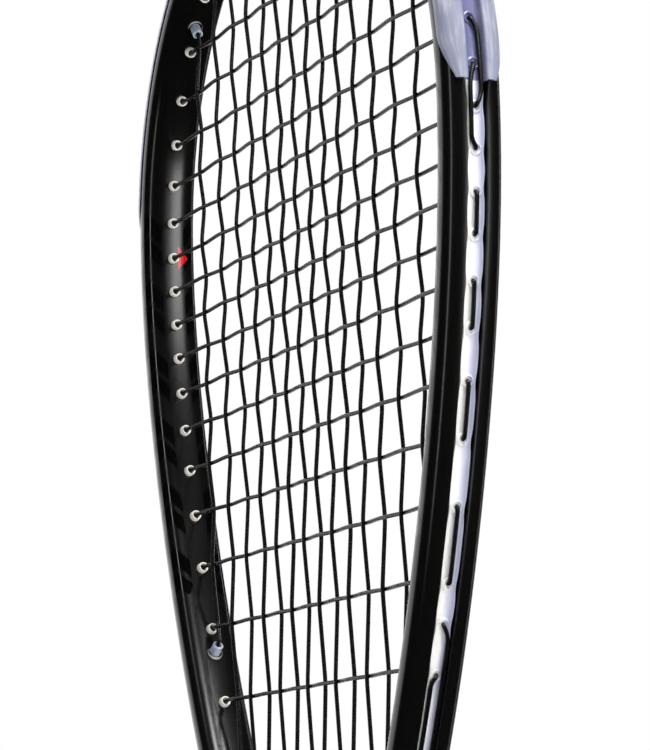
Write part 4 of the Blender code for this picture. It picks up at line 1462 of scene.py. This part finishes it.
wrap_top = HANDLE_TOP - 0.0004
steps = 230
rings, along = [], []
for step in range(steps + 1):
    z = GRIP_FOOT + (wrap_top - GRIP_FOOT) * step / steps
    edge = max(0.0, min(z - GRIP_FOOT, wrap_top - z))
    soft_edge = EDGE_ROUND * (1 - math.sqrt(1 - (1 - min(edge / EDGE_ROUND, 1.0)) ** 2))
    half = [side - soft_edge for side in grip_half(z)]
    rings.append(pushed_ring(handle_ring(half, z), z, lap_height))
    along.append(z)
inner_top = [p.lerp(Vector((0, 0, p.z)), 0.13) for p in rings[-1]]
inner_foot = [p.lerp(Vector((0, 0, p.z)), 0.11) for p in rings[0]]
rings = [inner_foot, *rings, inner_top]
along = [GRIP_FOOT - 0.001, *along, wrap_top + 0.001]
bm = bmesh.new()
sweep(bm, rings, along, lengths_round(rings[100]))
finished("wound_grip", bm, grip_finish(), ["grip_wrap"], 50)


# %% [markdown]
# ## Finishing tape and collar
# The tape that ends the winding is a smooth plastic strip with one printed stripe. The rubber
# collar above it is moulded with shallow ribs, and tapers from the grip's width to the shaft's.


# %% Finishing tape
STRIPE_AT = HANDLE_TOP - 0.007
STRIPE_HALF = 0.0009


def tape_finish():
    made, tree, shader = new_finish("finishing_tape", (0.02, 0.02, 0.022), 0.35, coat_weight=0.3)
    off_stripe = calc(tree, "ABSOLUTE", calc(tree, "SUBTRACT", swept_uv(tree)[1], STRIPE_AT))
    stripe = calc(tree, "LESS_THAN", off_stripe, STRIPE_HALF)
    smudge = noise(tree, object_place(tree), 90, 3)
    dark = ramp(tree, smudge, [(0.3, (0.012, 0.012, 0.013)), (0.7, (0.03, 0.03, 0.033))])
    colour = blend_colours(tree, stripe, dark, (0.32, 0.33, 0.35))
    roughness = calc(tree, "MULTIPLY_ADD", smudge, 0.25, 0.25)
    wire(tree, shader, colour, roughness, bump(tree, smudge, 0.0001, 0.4))
    return made


tape_half = grown(PALLET_HALF, GRIP_THICKNESS + 2 * GAP + TAPE_THICKNESS)
tape_low, tape_high = HANDLE_TOP - TAPE_HEIGHT, HANDLE_TOP - 0.0001


def tape_lap(turn, z):
    """The tape's loose end makes one small step across the front."""
    slope = turn + (z - tape_low) * 6
    return 0.0003 + 0.00022 / (1 + math.exp((slope - 0.05) * 160)) * (1 if slope > -0.3 else 0)


rings, along = [], []
for z, shrink in (
    (tape_low, 0.0009),
    (tape_low, 0.00012),
    (tape_low + 0.00015, 0.0),
    (tape_low + 0.004, 0.0),
    (tape_low + 0.009, 0.0),
    (tape_high - 0.00015, 0.0),
    (tape_high, 0.00012),
    (tape_high, 0.0009),
):
    rings.append(pushed_ring(handle_ring(grown(tape_half, -shrink), z), z, tape_lap))
    along.append(z)
bm = bmesh.new()
sweep(bm, rings, along, lengths_round(rings[3]))
finished("printed_tape", bm, tape_finish(), ["finishing_tape"], 40)


# %% Rubber collar
def rubber_finish():
    made, tree, shader = new_finish("collar_rubber", (0.018, 0.018, 0.019), 0.55)
    place = object_place(tree)
    fine = noise(tree, place, 700, 4)
    dusty = noise(tree, place, 60, 3)
    colour = ramp(tree, dusty, [(0.3, (0.011, 0.011, 0.012)), (0.75, (0.03, 0.03, 0.031))])
    roughness = calc(tree, "MULTIPLY_ADD", dusty, 0.3, 0.4)
    wire(tree, shader, colour, roughness, bump(tree, fine, 0.00005, 0.5))
    return made


RIBS = 6
RIB_HEIGHT = 0.00028
RIBS_FROM = 0.16
RIBS_TO = 0.86


def rib_height(share):
    """Shallow ribs over the middle of the collar, by the share of its height."""
    if not RIBS_FROM < share < RIBS_TO:
        return 0.0
    wave = math.sin(math.tau * RIBS * (share - RIBS_FROM) / (RIBS_TO - RIBS_FROM))
    return RIB_HEIGHT * max(0.0, wave)


rubber = rubber_finish()
collar_foot = HANDLE_TOP + GAP
collar_low = grown(PALLET_HALF, GRIP_THICKNESS + 2 * GAP + TAPE_THICKNESS + 0.0001)
collar_high = grown(SHAFT_HALF, 0.0015)
rings, along = [], []
count = 46
for step in range(count + 1):
    share = step / count
    z = collar_foot + (COLLAR_TOP - collar_foot) * share
    half = mixed_sizes(collar_low, collar_high, eased((share - 0.12) / 0.72))
    edge = min(share, 1 - share) * (COLLAR_TOP - collar_foot)
    out = rib_height(share) - 0.0005 * (1 - min(edge / 0.0008, 1.0)) ** 2
    rings.append(rounded_rectangle(half[0] + out, half[1] + out, z, 0.75, 9))
    along.append(z)
throat_ring = rounded_rectangle(*grown(SHAFT_HALF, 0.0002), COLLAR_TOP - 0.0001, 0.62, 9)
under_ring = rounded_rectangle(*grown(SHAFT_HALF, 0.0002), collar_foot, 0.62, 9)
bm = bmesh.new()
sweep(
    bm,
    [*rings, throat_ring, under_ring, rings[0]],
    [*along, COLLAR_TOP + 0.0012, COLLAR_TOP + 0.0242, COLLAR_TOP + 0.029],
    lengths_round(rings[20]),
    joined=True,
)
finished("ribbed_collar", bm, rubber, ["rubber_collar"], 45)


# %% [markdown]
# ## Butt cap and plug
# The cap is a moulded cup, flared where the heel of the hand stops, with its lower edge rounded and
# one fine parting line. A round plug is pressed into its floor; here it carries plain raised rings
# and eight short rays, in place of any maker's sign.


# %% Cap plastic and butt cap
def cap_finish():
    made, tree, shader = new_finish("cap_plastic", (0.013, 0.013, 0.014), 0.4)
    place = object_place(tree)
    grain = noise(tree, place, 1100, 3)
    scuffs = noise(tree, stretched(tree, place, (1, 1, 0.3)), 130, 4, 0.65)
    colour = ramp(tree, scuffs, [(0.35, (0.010, 0.010, 0.011)), (0.78, (0.035, 0.035, 0.037))])
    roughness = calc(tree, "MULTIPLY_ADD", scuffs, 0.3, 0.28)
    wire(tree, shader, colour, roughness, bump(tree, grain, 0.00004, 0.6))
    return made


cap_plastic = cap_finish()
cap_half = grown(PALLET_HALF, GAP + CAP_WALL)
cap_profile = [
    (-0.0100, 0.0005),
    (-0.0012, 0.0004),
    (0.0, 0.0),
    (0.0007, 0.0002),
    (0.0013, 0.0008),
    (CAP_FLARE, 0.0020),
    (CAP_FLARE, 0.0058),
    (CAP_FLARE - 0.00018, 0.0060),
    (CAP_FLARE - 0.00018, 0.0063),
    (CAP_FLARE, 0.0065),
    (CAP_FLARE, 0.0095),
    (0.00155, 0.0112),
    (0.0009, 0.0130),
    (0.00025, 0.0150),
    (0.0, 0.0162),
    (0.0, 0.0190),
    (-0.0010, 0.0195),
]
rings = [handle_ring(grown(cap_half, out), z, 0.0024) for out, z in cap_profile]
along = lengths_round([Vector((out, 0, z)) for out, z in cap_profile])[:-1]
floor_ring = []
for point in rings[0]:
    out = Vector((point.x, point.y, 0)).normalized()
    floor_ring.append(out * (PLUG_RADIUS + GAP) + Vector((0, 0, 0.0006)))
well_ring = [p + Vector((0, 0, 0.0016)) for p in floor_ring]
rings = [well_ring, floor_ring, *rings[1:]]
along = [-0.0016, *along]
bm = bmesh.new()
sweep(bm, rings, along, lengths_round(rings[6]))
finished("moulded_cap", bm, cap_plastic, ["butt_cap"], 38)


# %% Plug
def plug_finish():
    """Dark red plastic, slightly cloudy."""
    made, tree, shader = new_finish("plug_plastic", (0.3, 0.012, 0.012), 0.35, coat_weight=0.2)
    place = object_place(tree)
    swirl = noise(tree, place, 420, 3)
    colour = ramp(tree, swirl, [(0.3, (0.2, 0.007, 0.007)), (0.7, (0.4, 0.02, 0.018))])
    roughness = calc(tree, "MULTIPLY_ADD", swirl, 0.25, 0.25)
    wire(tree, shader, colour, roughness, bump(tree, swirl, 0.00006, 0.5))
    return made


RAYS = 8
RAY_SIZE = (0.0024, 0.0005, 0.0006)
RAY_PLACE = (0.0042, 0, 0.0009)
bm = bmesh.new()
plug_profile = [
    (0.0, 0.0009),
    (0.0016, 0.0009),
    (0.0018, 0.0006),
    (0.0024, 0.0006),
    (0.0026, 0.0009),
    (0.0058, 0.0009),
    (0.0060, 0.0005),
    (0.0066, 0.0005),
    (0.0070, 0.0008),
    (0.0074, 0.0012),
    (PLUG_RADIUS, 0.0040),
]
lathe(bm, plug_profile, Matrix.Identity(4), 48)
bmesh.ops.remove_doubles(bm, verts=bm.verts, dist=1e-6)
for ray in range(RAYS):
    made = bmesh.ops.create_cube(bm, size=1.0)["verts"]
    bmesh.ops.scale(bm, verts=made, vec=RAY_SIZE)
    edges = {edge for corner in made for edge in corner.link_edges}
    rounded = bmesh.ops.bevel(
        bm,
        geom=[*made, *edges],
        offset=0.00012,
        segments=2,
        profile=0.5,
        affect="EDGES",
        material=-1,
    )
    shaped = {corner for face in rounded["faces"] for corner in face.verts}
    shaped = [*(shaped | {corner for corner in made if corner.is_valid})]
    bmesh.ops.translate(bm, verts=shaped, vec=RAY_PLACE)
    turn = Matrix.Rotation(math.tau * ray / RAYS, 3, "Z")
    bmesh.ops.rotate(bm, verts=shaped, cent=(0, 0, 0), matrix=turn)
finished("pressed_plug", bm, plug_finish(), ["butt_plug"], 35)

# %% [markdown]
# ## Hidden parts
# The foam halves, the putty weight in the shaft's foot and the staple under the grip keep their CAD
# shapes, which are already right. They are out of sight in the whole racket, but a viewer may
# take it apart, so each gets its own finish.


# %% Foam, putty and steel
def speckled(name, low, high, roughness, scale, depth, **constants):
    """A simple moulded or metal finish with cloudy colour, uneven gloss and a fine grain."""
    made, tree, shader = new_finish(name, low, roughness, **constants)
    place = object_place(tree)
    cloud = noise(tree, place, scale, 4)
    colour = ramp(tree, cloud, [(0.3, low), (0.7, high)])
    varied = calc(tree, "MULTIPLY_ADD", cloud, 0.25, roughness - 0.12)
    wire(tree, shader, colour, varied, bump(tree, cloud, depth, 0.6))
    return made


foam = speckled("pallet_foam", (0.5, 0.43, 0.28), (0.66, 0.6, 0.46), 0.85, 900, 0.0002)
putty = speckled("weight_putty", (0.16, 0.16, 0.18), (0.26, 0.26, 0.28), 0.7, 300, 0.0002)
steel = speckled("staple_steel", (0.5, 0.5, 0.5), (0.7, 0.7, 0.7), 0.3, 1500, 0.00003, metallic=1.0)
hidden_finishes = {
    "handle_pallet_front": foam,
    "handle_pallet_back": foam,
    "balance_weight": putty,
    "grip_staple": steel,
}
for name, finish in hidden_finishes.items():
    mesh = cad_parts[name].data
    mesh.materials.clear()
    mesh.materials.append(finish)
print("finished", len(hidden_finishes), "hidden parts")
